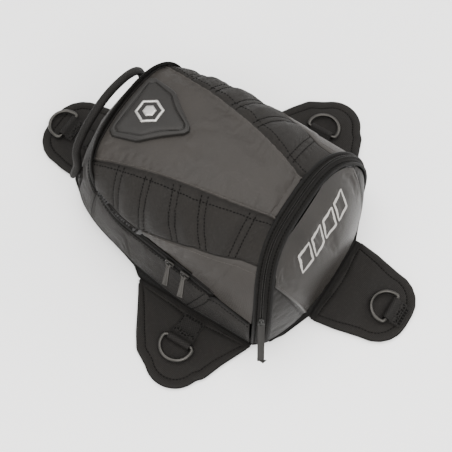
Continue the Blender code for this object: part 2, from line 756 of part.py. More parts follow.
def strap_and_ring(name, place, top, ring_at, flipped, centre):
    """The strap runs along the wing to the ring's bar, wraps over it and is stitched down behind the wrap."""
    way = -1.0 if flipped else 1.0     # from the bar towards the ring's arc
    low = top + GAP
    bar = (ring_at - way * RING_L / 2, low + STRAP_T + GAP + RING_WIRE)
    wrap = RING_WIRE + GAP
    back = bar[0] - way * (wrap + STRAP_T + STITCH_L)
    far_end = STRAP_START if not flipped else ring_at + STRAP_BEYOND
    # side view: round the far side of the bar, over it, down behind it, and back along the wing's cover
    profile = wrap_arc(bar, wrap + STRAP_T, way)
    profile += [(back, low + STRAP_T * 2 + GAP), (back, low + STRAP_T + GAP)]
    profile += [(bar[0] - way * wrap, low + STRAP_T + GAP)]
    profile += wrap_arc(bar, wrap, way, True)
    profile += [(far_end, low + STRAP_T), (far_end, low)]
    points = [Vector((*place(x, s * STRAP_X), z)) for s in (-1, 1) for x, z in profile]
    n = len(profile)
    faces = [tuple(range(n)), tuple(range(n, 2 * n))]
    faces += [(i, n + i, n + (i + 1) % n, (i + 1) % n) for i in range(n)]
    add_object(f"{name}_strap", mesh_from(f"{name}_strap", points, faces), MATS["webbing"], centre)
    ring_axis = pivot(f"{name}_ring_axis", (*place(bar[0], 0.0), bar[1]), centre)
    ring(name, place, bar[0], bar[1], way, ring_axis)


def ring(name, place, bar_x, bar_z, way, axis):
    """A D-shaped wire ring: a straight bar in the loop and an arc beyond it."""
    bar = STRAP_X + RING_WIRE
    outline = [(bar_x, y) for y in (-bar, 0.0, bar)]
    outline += [(bar_x + way * 0.0022, RING_X)]
    middle = bar_x + way * (RING_L - RING_X * 0.95)
    for k in range(13):
        a = math.radians(90 - 180 * k / 12)
        outline.append((middle + way * RING_X * 0.95 * math.cos(a), RING_X * math.sin(a)))
    outline += [(bar_x + way * 0.0022, -RING_X)]
    curve = wire_curve(f"{name}_ring", [(*place(x, y), bar_z) for x, y in outline], RING_WIRE, 1)
    curve.splines[0].use_cyclic_u = True
    add_object(f"{name}_ring", curve, MATS["gunmetal"], axis)


def make_wings():
    rear = end_wing_outline(0.0615, 0.0450, 0.0420, 0.0340)
    front = end_wing_outline(0.0865, 0.0505, 0.0405, 0.0330)
    make_wing("rear", 1, (0.0, MAT_REAR_Y + WING_GAP), rear, 0.0500, False)
    make_wing("front", 3, (0.0, FRONT_Y - WING_GAP), front, 0.0555, True)
    for name, side in SIDES:
        direction = 0 if side > 0 else 2
        make_wing(name, direction, (side * (SIDE_X + WING_GAP), RING_LINE_Y), side_wing_outline(0.0825),
                  0.0465, False, side < 0)


# ---------------------------------------------------------------- handle and sliders
def make_handle():
    """A stiff loop behind the lid's rear edge, with its ends on tabs sewn to the rear wall."""
    t, k = HANDLE_FOOT
    foot = tub_surface(t, k) + normal_of(tub_surface, t, k) * (HANDLE_R + ANCHOR_T + HANDLE_OFF)
    axis = pivot("handle_axis", (0.0, foot.y, foot.z))
    right = [tuple(foot)] + list(HANDLE_LINE)
    keys = right + [(-x, y, z) for x, y, z in reversed(right[:-1])]
    points = [smooth_value(keys, t) for t in spread(0.0, 1.0, 32)]
    curve = wire_curve("grab_handle", points, HANDLE_R, 2)
    curve.use_fill_caps = True
    add_object("grab_handle", curve, MATS["webbing"], axis)
    for name, side in SIDES:
        surface = tub_surface if side > 0 else mirrored(tub_surface)
        shell(f"handle_anchor_{name}", surface, spread(t - 0.022, t + 0.022, 2),
              lambda a: (k - 0.16, k + 0.12), 2, (-ANCHOR_T - 0.0010, -0.0010), MATS["webbing"], None, side < 0)


def wire_curve(name, points, radius, resolution):
    curve = bpy.data.curves.new(name, "CURVE")
    curve.dimensions = "3D"
    curve.bevel_depth = radius
    curve.bevel_resolution = resolution
    curve.render_resolution_u = 0
    spline = curve.splines.new("POLY")
    spline.points.add(len(points) - 1)
    for item, p in zip(spline.points, points):
        item.co = (*p, 1.0)
    return curve


def block(name, centre, along, out, size, mat, parent):
    """A plate with cut corners: its length along one direction, its thickness outward from centre."""
    across = out.cross(along).normalized()
    length, width, thick = size[0] / 2, size[1] / 2, size[2]
    cut = min(width, length) * 0.35
    outline = [(-length + cut, -width), (length - cut, -width), (length, -width + cut), (length, width - cut),
               (length - cut, width), (-length + cut, width), (-length, width - cut), (-length, -width + cut)]
    points = [centre + along * x + across * y + out * z for z in (0.0, thick) for x, y in outline]
    n = len(outline)
    faces = [tuple(reversed(range(n))), tuple(range(n, 2 * n))]
    faces += [(i, (i + 1) % n, n + (i + 1) % n, n + i) for i in range(n)]
    return add_object(name, mesh_from(name, points, faces), mat, parent)


def square_to(direction, *others):
    """The part of a direction that is square to the others, as a unit vector."""
    for other in others:
        direction = direction - other * direction.dot(other)
    return direction.normalized()


def make_slider(name, place, along, out, down, pull_length, splay, mats, parent=None):
    """A slider that rides just outside the teeth, and a pull that leans out from its outer face."""
    body_axis = pivot(f"{name}_slider_axis", place, parent)
    face = place + out * SLIDER_CLEAR
    block(f"{name}_slider", face, along, out, (SLIDER_L, SLIDER_W, SLIDER_T), mats[0], body_axis)
    hinge = face + out * (SLIDER_T + GAP + PULL_T)
    pull_axis = pivot(f"{name}_pull_axis", hinge, body_axis)
    lean, turn = math.radians(PULL_LEAN), math.radians(splay)
    way = (down * math.cos(lean) + out * math.sin(lean)) * math.cos(turn) - along * math.sin(turn)
    block(f"{name}_pull", hinge + way * (pull_length / 2 - 0.0002), way, square_to(out, way),
          (pull_length, PULL_W, PULL_T), mats[1], pull_axis)


def make_sliders(flap):
    run_a, run_b = (Vector((-x, y, z)) for x, y, z in ZIP_LINE[1:3])
    along = (run_b - run_a).normalized()
    out = square_to(Vector((-1.0, 0.0, 0.12)), along)
    down = square_to(Vector((0.0, 0.0, -1.0)), out, along)
    for name, share in SLIDER_SHARE:
        make_slider(name, run_a.lerp(run_b, share), along, out, down, PULL_L, PULL_SPLAY,
                    (MATS["gunmetal"], MATS["gunmetal"]))
    place = band_surface(POCKET_SLIDER_Q, 0.5)
    out = -normal_of(band_surface, POCKET_SLIDER_Q, 0.5)
    along = band_surface(POCKET_SLIDER_Q + 0.02, 0.5) - band_surface(POCKET_SLIDER_Q - 0.02, 0.5)
    along = square_to(along.normalized(), out)
    make_slider("pocket", place, along, out, -along, POCKET_PULL_L, 0.0,
                (MATS["black_metal"], MATS["webbing"]), flap)


# ---------------------------------------------------------------- build
clear_scene()
PARTS = bpy.data.collections.new("tank_bag")
CUTTERS = bpy.data.collections.new("cutters")
for item in (PARTS, CUTTERS):
    bpy.context.scene.collection.children.link(item)

MATS = {
    "nylon": material("black_nylon", (0.045, 0.041, 0.036), 0.80),
    "coated": material("grey_coated_fabric", (0.105, 0.095, 0.085), 0.55),
    "glossy": material("grey_glossy_fabric", (0.125, 0.115, 0.105), 0.38),
    "webbing": material("black_webbing", (0.040, 0.037, 0.033), 0.75),
    "tape": material("zip_tape", (0.030, 0.028, 0.026), 0.60),
    "lining": material("grey_lining", (0.16, 0.16, 0.16), 0.75),
    "mat": material("anti_slip_rubber", (0.030, 0.030, 0.030), 0.90),
    "board": material("stiffener_board", (0.060, 0.060, 0.060), 0.60),
    "moulded": material("moulded_rubber", (0.035, 0.033, 0.031), 0.45),
    "silver": material("silver_badge", (0.62, 0.62, 0.60), 0.35, 0.9),
    "gunmetal": material("gunmetal", (0.16, 0.155, 0.15), 0.35, 0.9),
    "black_metal": material("black_metal", (0.05, 0.05, 0.05), 0.35, 0.8),
    "magnet": material("magnet", (0.45, 0.45, 0.47), 0.30, 1.0),
}

lid_axis = pivot("lid_axis", (0.0, FOLD_TOP_Y, ARCH_TOP[1] + 0.0012))
flap_axis = pivot("flap_axis", (0.0, FRONT_Y - 0.0005, FLOOR_T + GAP * 3))
make_base()
make_tub()
make_zip(lid_axis)
make_arch()
make_lid(lid_axis)
make_emblem(lid_axis)
make_flap(flap_axis)
make_wings()
make_handle()
make_sliders(flap_axis)
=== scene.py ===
"""Looks of a motorcycle tank bag: coated and woven cloth, quilting, zips, webbing, rings and its stage."""
import math

import bmesh
import bpy
import numpy as np
from mathutils import Matrix, Vector


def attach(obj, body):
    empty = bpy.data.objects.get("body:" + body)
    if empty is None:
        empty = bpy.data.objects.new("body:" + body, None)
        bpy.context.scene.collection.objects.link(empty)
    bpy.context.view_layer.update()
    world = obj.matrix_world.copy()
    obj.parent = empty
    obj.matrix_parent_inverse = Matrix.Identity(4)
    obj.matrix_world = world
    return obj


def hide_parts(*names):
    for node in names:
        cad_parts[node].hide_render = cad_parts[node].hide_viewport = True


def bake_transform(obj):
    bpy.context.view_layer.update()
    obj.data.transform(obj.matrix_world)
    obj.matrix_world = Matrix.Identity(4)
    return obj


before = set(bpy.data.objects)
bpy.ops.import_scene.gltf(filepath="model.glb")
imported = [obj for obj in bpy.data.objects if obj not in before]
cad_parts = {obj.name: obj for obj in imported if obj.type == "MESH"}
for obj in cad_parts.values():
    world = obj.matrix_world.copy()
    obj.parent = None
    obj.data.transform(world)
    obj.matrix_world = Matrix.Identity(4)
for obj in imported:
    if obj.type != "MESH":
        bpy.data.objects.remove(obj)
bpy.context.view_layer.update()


# ---------------------------------------------------------------- camera, lights and floor
def set_the_stage():
    camera = bpy.data.cameras.new("camera")
    camera.lens, camera.sensor_width = 85.0, 36.0
    camera.clip_start, camera.clip_end = 0.05, 20.0
    holder = bpy.data.objects.new("camera", camera)
    holder.location = (-0.41938, -0.25393, 1.01564)
    holder.rotation_euler = (0.44147, -0.00962, -1.01288)
    bpy.context.scene.collection.objects.link(holder)
    bpy.context.scene.camera = holder

    for name, place, size, power in (("key", (-0.55, -0.75, 1.15), 0.9, 21.0), ("top", (0.15, 0.35, 1.5), 1.2, 23.0),
                                     ("side", (-1.2, 0.5, 0.6), 0.8, 10.0), ("rim", (1.0, -0.6, 0.7), 0.8, 10.0)):
        lamp = bpy.data.lights.new(name, "AREA")
        lamp.energy, lamp.size, lamp.color = power, size, (1.0, 0.985, 0.965)
        item = bpy.data.objects.new(name, lamp)
        item.location = place
        item.rotation_euler = (Vector((0.0, 0.0, 0.05)) - Vector(place)).to_track_quat("-Z", "Y").to_euler()
        bpy.context.scene.collection.objects.link(item)

    world = bpy.data.worlds.new("studio")
    world.use_nodes = True
    world.node_tree.nodes["Background"].inputs["Color"].default_value = (1.0, 1.0, 1.0, 1.0)
    world.node_tree.nodes["Background"].inputs["Strength"].default_value = 1.35
    bpy.context.scene.world = world

    bpy.ops.object.select_all(action="DESELECT")
    bpy.ops.mesh.primitive_plane_add(size=14.0, location=(0.0, 0.0, -0.0006))
    floor = bpy.context.object
    floor.name = "floor"
    paper = bpy.data.materials.new("studio_paper")
    paper.use_nodes = True
    shader = paper.node_tree.nodes["Principled BSDF"]
    shader.inputs["Base Color"].default_value = (0.93, 0.93, 0.93, 1.0)
    shader.inputs["Roughness"].default_value = 0.75
    floor.data.materials.append(paper)


# ---------------------------------------------------------------- cloth, rubber and metal finishes
def new_group(name, inputs, outputs):
    group = bpy.data.node_groups.new(name, "ShaderNodeTree")
    for label, kind, value in inputs:
        item = group.interface.new_socket(label, in_out="INPUT", socket_type=kind)
        if value is not None:
            item.default_value = value
    for label, kind in outputs:
        group.interface.new_socket(label, in_out="OUTPUT", socket_type=kind)
    return group, group.nodes.new("NodeGroupInput"), group.nodes.new("NodeGroupOutput")


def node(tree, kind, settings=None, **inputs):
    """Adds a node; each input is a value or another node's socket."""
    item = tree.nodes.new(kind)
    for key, value in (settings or {}).items():
        setattr(item, key, value)
    for key, value in inputs.items():
        socket = item.inputs[int(key[1:])] if key[0] == "_" else item.inputs[key]
        if isinstance(value, bpy.types.NodeSocket):
            tree.links.new(value, socket)
        else:
            socket.default_value = value
    return item


def math_node(tree, how, a, b=0.0):
    return node(tree, "ShaderNodeMath", {"operation": how}, _0=a, _1=b).outputs[0]


def make_weave():
    """Over and under threads on a flat pattern measured in metres; the threads get a lightened and the gaps a darkened
    colour, as painted shade in the weave's hollows.
    """
    group, into, out = new_group(
        "weave", (("Vector", "NodeSocketVector", None), ("Threads", "NodeSocketFloat", 1200.0),
                  ("Slant", "NodeSocketFloat", 0.0), ("Thread", "NodeSocketColor", (0.05, 0.05, 0.05, 1.0)),
                  ("Gap", "NodeSocketColor", (0.01, 0.01, 0.01, 1.0))),
        (("Colour", "NodeSocketColor"), ("Height", "NodeSocketFloat")))
    turn = node(group, "ShaderNodeVectorRotate", {"rotation_type": "Z_AXIS"}, Vector=into.outputs["Vector"],
                Angle=into.outputs["Slant"])
    parts = node(group, "ShaderNodeSeparateXYZ", _0=turn.outputs[0])
    runs = []
    for k in (0, 1):
        scaled = math_node(group, "MULTIPLY", parts.outputs[k], into.outputs["Threads"])
        runs.append(math_node(group, "SINE", math_node(group, "MULTIPLY", scaled, math.pi)))
    over = math_node(group, "MULTIPLY", runs[0], runs[1])
    rise = math_node(group, "ABSOLUTE", over)
    # the colour follows the threads' height: the low gaps take the darker colour, painted shade between the threads
    ramp = node(group, "ShaderNodeMapRange", _0=rise, _1=0.0, _2=0.55, _3=0.0, _4=1.0)
    mix = node(group, "ShaderNodeMix", {"data_type": "RGBA"}, Factor=ramp.outputs[0])
    group.links.new(into.outputs["Gap"], mix.inputs[6])
    group.links.new(into.outputs["Thread"], mix.inputs[7])
    group.links.new(mix.outputs[2], out.inputs["Colour"])
    group.links.new(rise, out.inputs["Height"])
    return group


def make_wear():
    """Uneven dye, faint dust and rubbed patches, the same on every finish."""
    group, into, out = new_group(
        "wear", (("Vector", "NodeSocketVector", None), ("Colour", "NodeSocketColor", (0.05, 0.05, 0.05, 1.0)),
                 ("Dust", "NodeSocketFloat", 0.10), ("Roughness", "NodeSocketFloat", 0.6)),
        (("Colour", "NodeSocketColor"), ("Roughness", "NodeSocketFloat")))
    patches = node(group, "ShaderNodeTexNoise", Vector=into.outputs["Vector"], Scale=28.0, Detail=4.0)
    specks = node(group, "ShaderNodeTexNoise", Vector=into.outputs["Vector"], Scale=420.0, Detail=2.0)
    tone = node(group, "ShaderNodeMapRange", _0=patches.outputs[0], _1=0.3, _2=0.7, _3=0.86, _4=1.14)
    shade = node(group, "ShaderNodeMix", {"data_type": "RGBA", "blend_type": "MULTIPLY"}, Factor=1.0)
    group.links.new(into.outputs["Colour"], shade.inputs[6])
    grey = node(group, "ShaderNodeCombineColor", _0=tone.outputs[0], _1=tone.outputs[0], _2=tone.outputs[0])
    group.links.new(grey.outputs[0], shade.inputs[7])
    dusty = node(group, "ShaderNodeMapRange", _0=specks.outputs[0], _1=0.52, _2=0.72, _3=0.0, _4=1.0)
    amount = math_node(group, "MULTIPLY", dusty.outputs[0], into.outputs["Dust"])
    mix = node(group, "ShaderNodeMix", {"data_type": "RGBA"}, Factor=amount)
    group.links.new(shade.outputs[2], mix.inputs[6])
    mix.inputs[7].default_value = (0.060, 0.054, 0.048, 1.0)
    rough = node(group, "ShaderNodeMapRange", _0=patches.outputs[0], _1=0.3, _2=0.7, _3=-0.06, _4=0.06)
    group.links.new(mix.outputs[2], out.inputs["Colour"])
    group.links.new(math_node(group, "ADD", into.outputs["Roughness"], rough.outputs[0]), out.inputs["Roughness"])
    return group


WEAVE, WEAR = make_weave(), make_wear()


def finish_of(name, colour, roughness, threads=0.0, slant=0.0, bump=0.0, gap=0.45, dust=0.10, metallic=0.0,
              sheen=0.0, coat=0.0, grain=0.0, specular=0.5):
    """A finish: woven where threads is given, grained where grain is."""
    mat = bpy.data.materials.new(name)
    mat.use_nodes = True
    tree = mat.node_tree
    shader = tree.nodes["Principled BSDF"]
    shader.inputs["Metallic"].default_value = metallic
    shader.inputs["Sheen Weight"].default_value = sheen
    shader.inputs["Sheen Roughness"].default_value = 0.4
    shader.inputs["Coat Weight"].default_value = coat
    shader.inputs["Coat Roughness"].default_value = 0.35
    shader.inputs["Specular IOR Level"].default_value = specular
    place = tree.nodes.new("ShaderNodeTexCoord")
    wear = node(tree, "ShaderNodeGroup", {"node_tree": WEAR}, Vector=place.outputs["Object"], Dust=dust,
                Roughness=roughness)
    height = None
    if threads:
        flat = node(tree, "ShaderNodeUVMap", {"uv_map": "cloth"})
        # threads are the cloth colour lightened and the gaps between them the cloth colour darkened: painted shade in
        # the weave
        weave = node(tree, "ShaderNodeGroup", {"node_tree": WEAVE}, Vector=flat.outputs[0], Threads=threads,
                     Slant=slant, Thread=(*[min(c * 1.12, 1.0) for c in colour], 1.0),
                     Gap=(*[c * gap for c in colour], 1.0))
        tree.links.new(weave.outputs["Colour"], wear.inputs["Colour"])
        height = weave.outputs["Height"]
    else:
        wear.inputs["Colour"].default_value = (*colour, 1.0)
    if grain:
        speck = node(tree, "ShaderNodeTexNoise", Vector=place.outputs["Object"], Scale=grain, Detail=3.0)
        height = speck.outputs[0] if height is None else math_node(tree, "ADD", height, speck.outputs[0])
    if height is not None and bump:
        raised = node(tree, "ShaderNodeBump", Height=height, Strength=bump, Distance=0.0003)
        tree.links.new(raised.outputs[0], shader.inputs["Normal"])
    tree.links.new(wear.outputs["Colour"], shader.inputs["Base Color"])
    tree.links.new(wear.outputs["Roughness"], shader.inputs["Roughness"])
    return mat


NYLON = finish_of("black_nylon", (0.0100, 0.0087, 0.0076), 0.74, 900.0, 0.6, 1.0, 0.50, 0.05, sheen=0.02,
                  specular=0.18)
COATED = finish_of("grey_coated_cloth", (0.0180, 0.0156, 0.0136), 0.52, 1500.0, 0.0, 0.3, 0.85, 0.05, grain=900.0,
                   specular=0.22)
GUSSET = finish_of("dark_coated_cloth", (0.0062, 0.0054, 0.0047), 0.54, 1500.0, 0.0, 0.3, 0.85, 0.05, grain=900.0,
                   specular=0.20)
GLOSSY = finish_of("grey_glossy_cloth", (0.0140, 0.0123, 0.0108), 0.42, 1500.0, 0.0, 0.2, 0.9, 0.04, grain=500.0,
                   coat=0.04, specular=0.24)
WING_CLOTH = finish_of("heavy_black_nylon", (0.0088, 0.0078, 0.0069), 0.76, 640.0, 0.2, 1.0, 0.45, 0.06, sheen=0.02,
                       specular=0.16)
WEBBING = finish_of("black_webbing", (0.0074, 0.0066, 0.0059), 0.72, 520.0, 0.785, 1.0, 0.30, 0.06, specular=0.16)
BINDING = finish_of("black_binding", (0.0046, 0.0041, 0.0036), 0.72, 800.0, 0.0, 0.8, 0.4, 0.05, specular=0.12)
PIPING = finish_of("black_piping", (0.0036, 0.0033, 0.0030), 0.62, 1100.0, 0.5, 0.6, 0.5, 0.05, specular=0.14)
TAPE = finish_of("zip_tape", (0.0050, 0.0045, 0.0040), 0.72, 1300.0, 0.0, 0.9, 0.4, 0.05, specular=0.12)
COIL = finish_of("zip_coil", (0.0080, 0.0074, 0.0067), 0.45, grain=700.0, bump=0.2, dust=0.04, specular=0.25)
LINING = finish_of("grey_lining", (0.050, 0.050, 0.050), 0.78, 1400.0, 0.3, 0.5, 0.6, 0.05, specular=0.2)
RUBBER = finish_of("anti_slip_rubber", (0.0070, 0.0070, 0.0066), 0.86, grain=1300.0, bump=0.8, dust=0.12, specular=0.2)
BOARD = finish_of("stiffener_board", (0.02, 0.02, 0.02), 0.6, grain=300.0, bump=0.2)
MOULDED = finish_of("moulded_rubber", (0.0092, 0.0084, 0.0076), 0.50, grain=1500.0, bump=0.3, dust=0.04, specular=0.22)
THREAD = finish_of("black_thread", (0.0016, 0.0015, 0.0013), 0.70, grain=2500.0, bump=0.4, dust=0.0, specular=0.06)
PALE_THREAD = finish_of("grey_thread", (0.040, 0.036, 0.032), 0.50, grain=2500.0, bump=0.4, dust=0.03, specular=0.2)
SILVER = finish_of("silver_badge", (0.42, 0.41, 0.39), 0.34, grain=1800.0, bump=0.12, metallic=0.9, dust=0.0)
GUNMETAL = finish_of("gunmetal", (0.045, 0.043, 0.040), 0.40, grain=600.0, bump=0.05, metallic=0.95, dust=0.03)
BLACK_METAL = finish_of("black_metal", (0.020, 0.020, 0.019), 0.32, grain=600.0, bump=0.05, metallic=0.6, dust=0.03)
MAGNET = finish_of("plated_magnet", (0.50, 0.50, 0.52), 0.28, grain=400.0, bump=0.05, metallic=1.0, dust=0.0)
PRINT = finish_of("reflective_print", (0.26, 0.25, 0.235), 0.40, grain=1500.0, bump=0.2, dust=0.0)


# ---------------------------------------------------------------- the bag's form, in metres
GAP = 0.0003
FLOOR_T = 0.0040
FRONT_Y = -0.1335
REAR_Y = 0.1605
SIDE_X = 0.1055
MAT_REAR_Y = 0.1585
RING_LINE_Y = -0.0375
BAND_X, BAND_Y = 0.1050, -0.1000
FLAP_X, FLAP_Y = 0.0960, -0.1110
ZIP_LINE = ((0.1030, -0.0965, 0.0500), (0.0980, -0.0495, 0.0570), (0.0880, 0.0575, 0.0760), (0.0750, 0.0955, 0.0880))
RIM_TOP, CREST = (0.1165, 0.1300), (0.0350, 0.1400)
ARCH_TOP, ARCH_POWER, ARCH_LEAN = (-0.0735, 0.1190), 2.9, 3.5
FLAP_TOP, FLAP_POWER, FLAP_LEAN, FLAP_BULGE = (-0.0880, 0.1170), 3.24, 3.8, 0.0225
FOLD_TOP_Y, FOLD_U = ARCH_TOP[0] + 0.0050, 0.80
TOP_PANEL_X = ((0.0630,), (0.0500,), (0.0385,), (0.0255,))
ZIP_END, CORNER = 0.62 / 3, 0.62
SIDES = (("left", -1.0), ("right", 1.0))
ON_CLOTH = 0.0001
UP = np.array((0.0, 0.0, 1.0))
LID_ROWS, FOLD_ROWS = 150, 24
ARCH_HOLD_ROW, TUCKED_ROWS = 146, 130
CORNER_STITCH = 0.006
TUB_COLUMNS = 130
SEAM_BREAK = 0.012
WEBBING_W, BAR_OFFSET, STRAP_START = 0.0250, 0.0105, 0.0066


def lerp(a, b, t):
    return a + (b - a) * t


def clamp(value, low=0.0, high=1.0):
    return min(max(value, low), high)


def spread(low, high, count):
    return [lerp(low, high, i / count) for i in range(count + 1)]


def smooth_value(points, t):
    last = len(points) - 1
    k = min(int(t * last), last - 1)
    f = t * last - k
    p = [points[min(max(k + i, 0), last)] for i in (-1, 0, 1, 2)]
    return [0.5 * (2 * b + (c - a) * f + (2 * a - 5 * b + 4 * c - d) * f * f + (3 * b - 3 * c + d - a) * f ** 3)
            for a, b, c, d in zip(*p)]


def zip_point(t):
    last = len(ZIP_LINE) - 1
    k = min(int(t * last), last - 1)
    f = t * last - k
    a, b = Vector(ZIP_LINE[k]), Vector(ZIP_LINE[k + 1])
    if k < last - 1:
        return a.lerp(b, f)
    bend = a + (a - Vector(ZIP_LINE[k - 1])).normalized() * (b - a).length * 0.5
    return a * (1 - f) ** 2 + bend * 2 * f * (1 - f) + b * f * f


def arch_edge(half_x, top, foot_y, power, lean, q):
    c, s = math.cos(math.pi * q), math.sin(math.pi * q)
    share = max(s, 0.0) ** (2 / power)
    return Vector((-half_x * math.copysign(abs(c) ** (2 / power), c), lerp(foot_y, top[0], share ** lean),
                   lerp(FLOOR_T + GAP, top[1], share)))


def outer_arch(q):
    return arch_edge(BAND_X, ARCH_TOP, BAND_Y, ARCH_POWER, ARCH_LEAN, q)


def inner_arch(q):
    return arch_edge(FLAP_X, FLAP_TOP, FLAP_Y, FLAP_POWER, FLAP_LEAN, q)


def arch_share(height):
    share = (height - FLOOR_T - GAP) / (ARCH_TOP[1] - FLOOR_T - GAP)
    return math.asin(share ** (ARCH_POWER / 2)) / math.pi


def band_surface(q, t):
    a, b = outer_arch(q), inner_arch(q)
    out = ((a + b) / 2 - Vector((0.0, BAND_Y, 0.0))).normalized()
    return a.lerp(b, t) + out * 0.0025 * math.sin(math.pi * t)


def lid_surface(v, u):
    if u <= FOLD_U:
        t = u / FOLD_U
        foot = zip_point(1 - t * 2 / 3)
        top = smooth_value((RIM_TOP, CREST, (-0.0250, 0.1335), (FOLD_TOP_Y, ARCH_TOP[1] + 0.0012)), t)
        power = smooth_value(((2.5,), (2.75,), (2.7,), (2.45,)), t)[0]
        c, s = math.cos(math.pi * v), math.sin(math.pi * v)
        share = max(s, 0.0) ** (2 / power)
        return Vector((-foot[0] * math.copysign(abs(c) ** (2 / power), c), lerp(foot[1], top[0], share),
                       lerp(foot[2], top[1], share)))
    t = (u - FOLD_U) / (1 - FOLD_U)
    low = arch_share(ZIP_LINE[0][2])
    return lid_surface(v, FOLD_U).lerp(outer_arch(lerp(low, 1 - low, v)), t)


def lid_v_at(u, height=None, half_x=None):
    low, high = 0.0, 0.5
    for _ in range(24):
        v = (low + high) / 2
        p = lid_surface(v, u)
        low, high = (low, v) if (p.z > height if height is not None else -p.x < half_x) else (v, high)
    return (low + high) / 2


def lid_height(x, y):
    """Height of the lid over a point of the plan."""
    low, high = 0.0, FOLD_U
    for _ in range(24):
        u = (low + high) / 2
        low, high = (u, high) if lid_surface(lid_v_at(u, half_x=max(abs(x), 1e-4)), u).y > y else (low, u)
    return lid_surface(lid_v_at((low + high) / 2, half_x=max(abs(x), 1e-4)), (low + high) / 2).z


def base_point(t):
    outline = ((BAND_X, BAND_Y + 0.0015), (0.1050, -0.0680), (0.1050, -0.0200), (0.0985, 0.0300),
               (0.0915, 0.0600), (0.0790, 0.1060), (0.0600, 0.1400), (0.0330, 0.1555), (0.0, REAR_Y))
    x, y = smooth_value(outline, t)
    return Vector((x, y, FLOOR_T + GAP))


def rim_point(t):
    if t <= CORNER:
        return zip_point(t / CORNER)
    p = lid_surface(lerp(1.0, 0.5, (t - CORNER) / (1 - CORNER)), 0.0)
    return p + Vector((0.0, GAP * 2, -GAP))


def tub_surface(t, k):
    a, b = base_point(t), rim_point(t)
    out = Vector((a.x, (a.y + 0.02) * 0.6, 0.0)).normalized()
    return a.lerp(b, k) + out * 0.0040 * math.sin(math.pi * k)


def flap_half(share):
    s = clamp(share) ** (FLAP_POWER / 2)
    return FLAP_X * math.sqrt(max(1 - s * s, 0.0)) ** (2 / FLAP_POWER), lerp(FLAP_Y, FLAP_TOP[0],
                                                                             clamp(share) ** FLAP_LEAN)


def flap_y(x, z):
    share = (z - FLOOR_T) / (FLAP_TOP[1] - FLOOR_T)
    half, edge = flap_half(share)
    swell = FLAP_BULGE * (1 - max(share, 0.0) ** 3.2) * (1 - 0.22 * max(0.0, 1 - share / 0.2) ** 2)
    return edge - swell * (1 - min(abs(x) / max(half, 1e-4), 1.0) ** 2.6)


# ---------------------------------------------------------------- sewing tools
def add_piece(name, points, faces, mats, body, uv=None, face_mats=None, smooth=True, replaces=(), slot=None):
    """A closed mesh with its place in its points, riding on a body when body is a name; otherwise it is only placed in
    the world.
    """
    mesh = bpy.data.meshes.new(name)
    mesh.from_pydata([tuple(map(float, p)) for p in points], [], faces)
    for mat in mats:
        mesh.materials.append(mat)
    if face_mats is not None:
        mesh.polygons.foreach_set("material_index", np.asarray(face_mats, np.int32))
    if uv is not None:
        layer = mesh.uv_layers.new(name="cloth")
        corners = np.empty(len(mesh.loops), np.int32)
        mesh.loops.foreach_get("vertex_index", corners)
        layer.data.foreach_set("uv", np.asarray(uv, np.float32)[corners].ravel())
    work = bmesh.new()
    work.from_mesh(mesh)
    bmesh.ops.recalc_face_normals(work, faces=work.faces)
    work.to_mesh(mesh)
    work.free()
    mesh.polygons.foreach_set("use_smooth", np.full(len(mesh.polygons), smooth))
    mesh.set_sharp_from_angle(angle=math.radians(65))
    obj = bpy.data.objects.new(name, mesh)
    bpy.context.scene.collection.objects.link(obj)
    if isinstance(body, str):
        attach(obj, body)
    else:
        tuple(body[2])
        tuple(body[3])
        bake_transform(obj)
    if replaces:
        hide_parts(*replaces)
    return obj


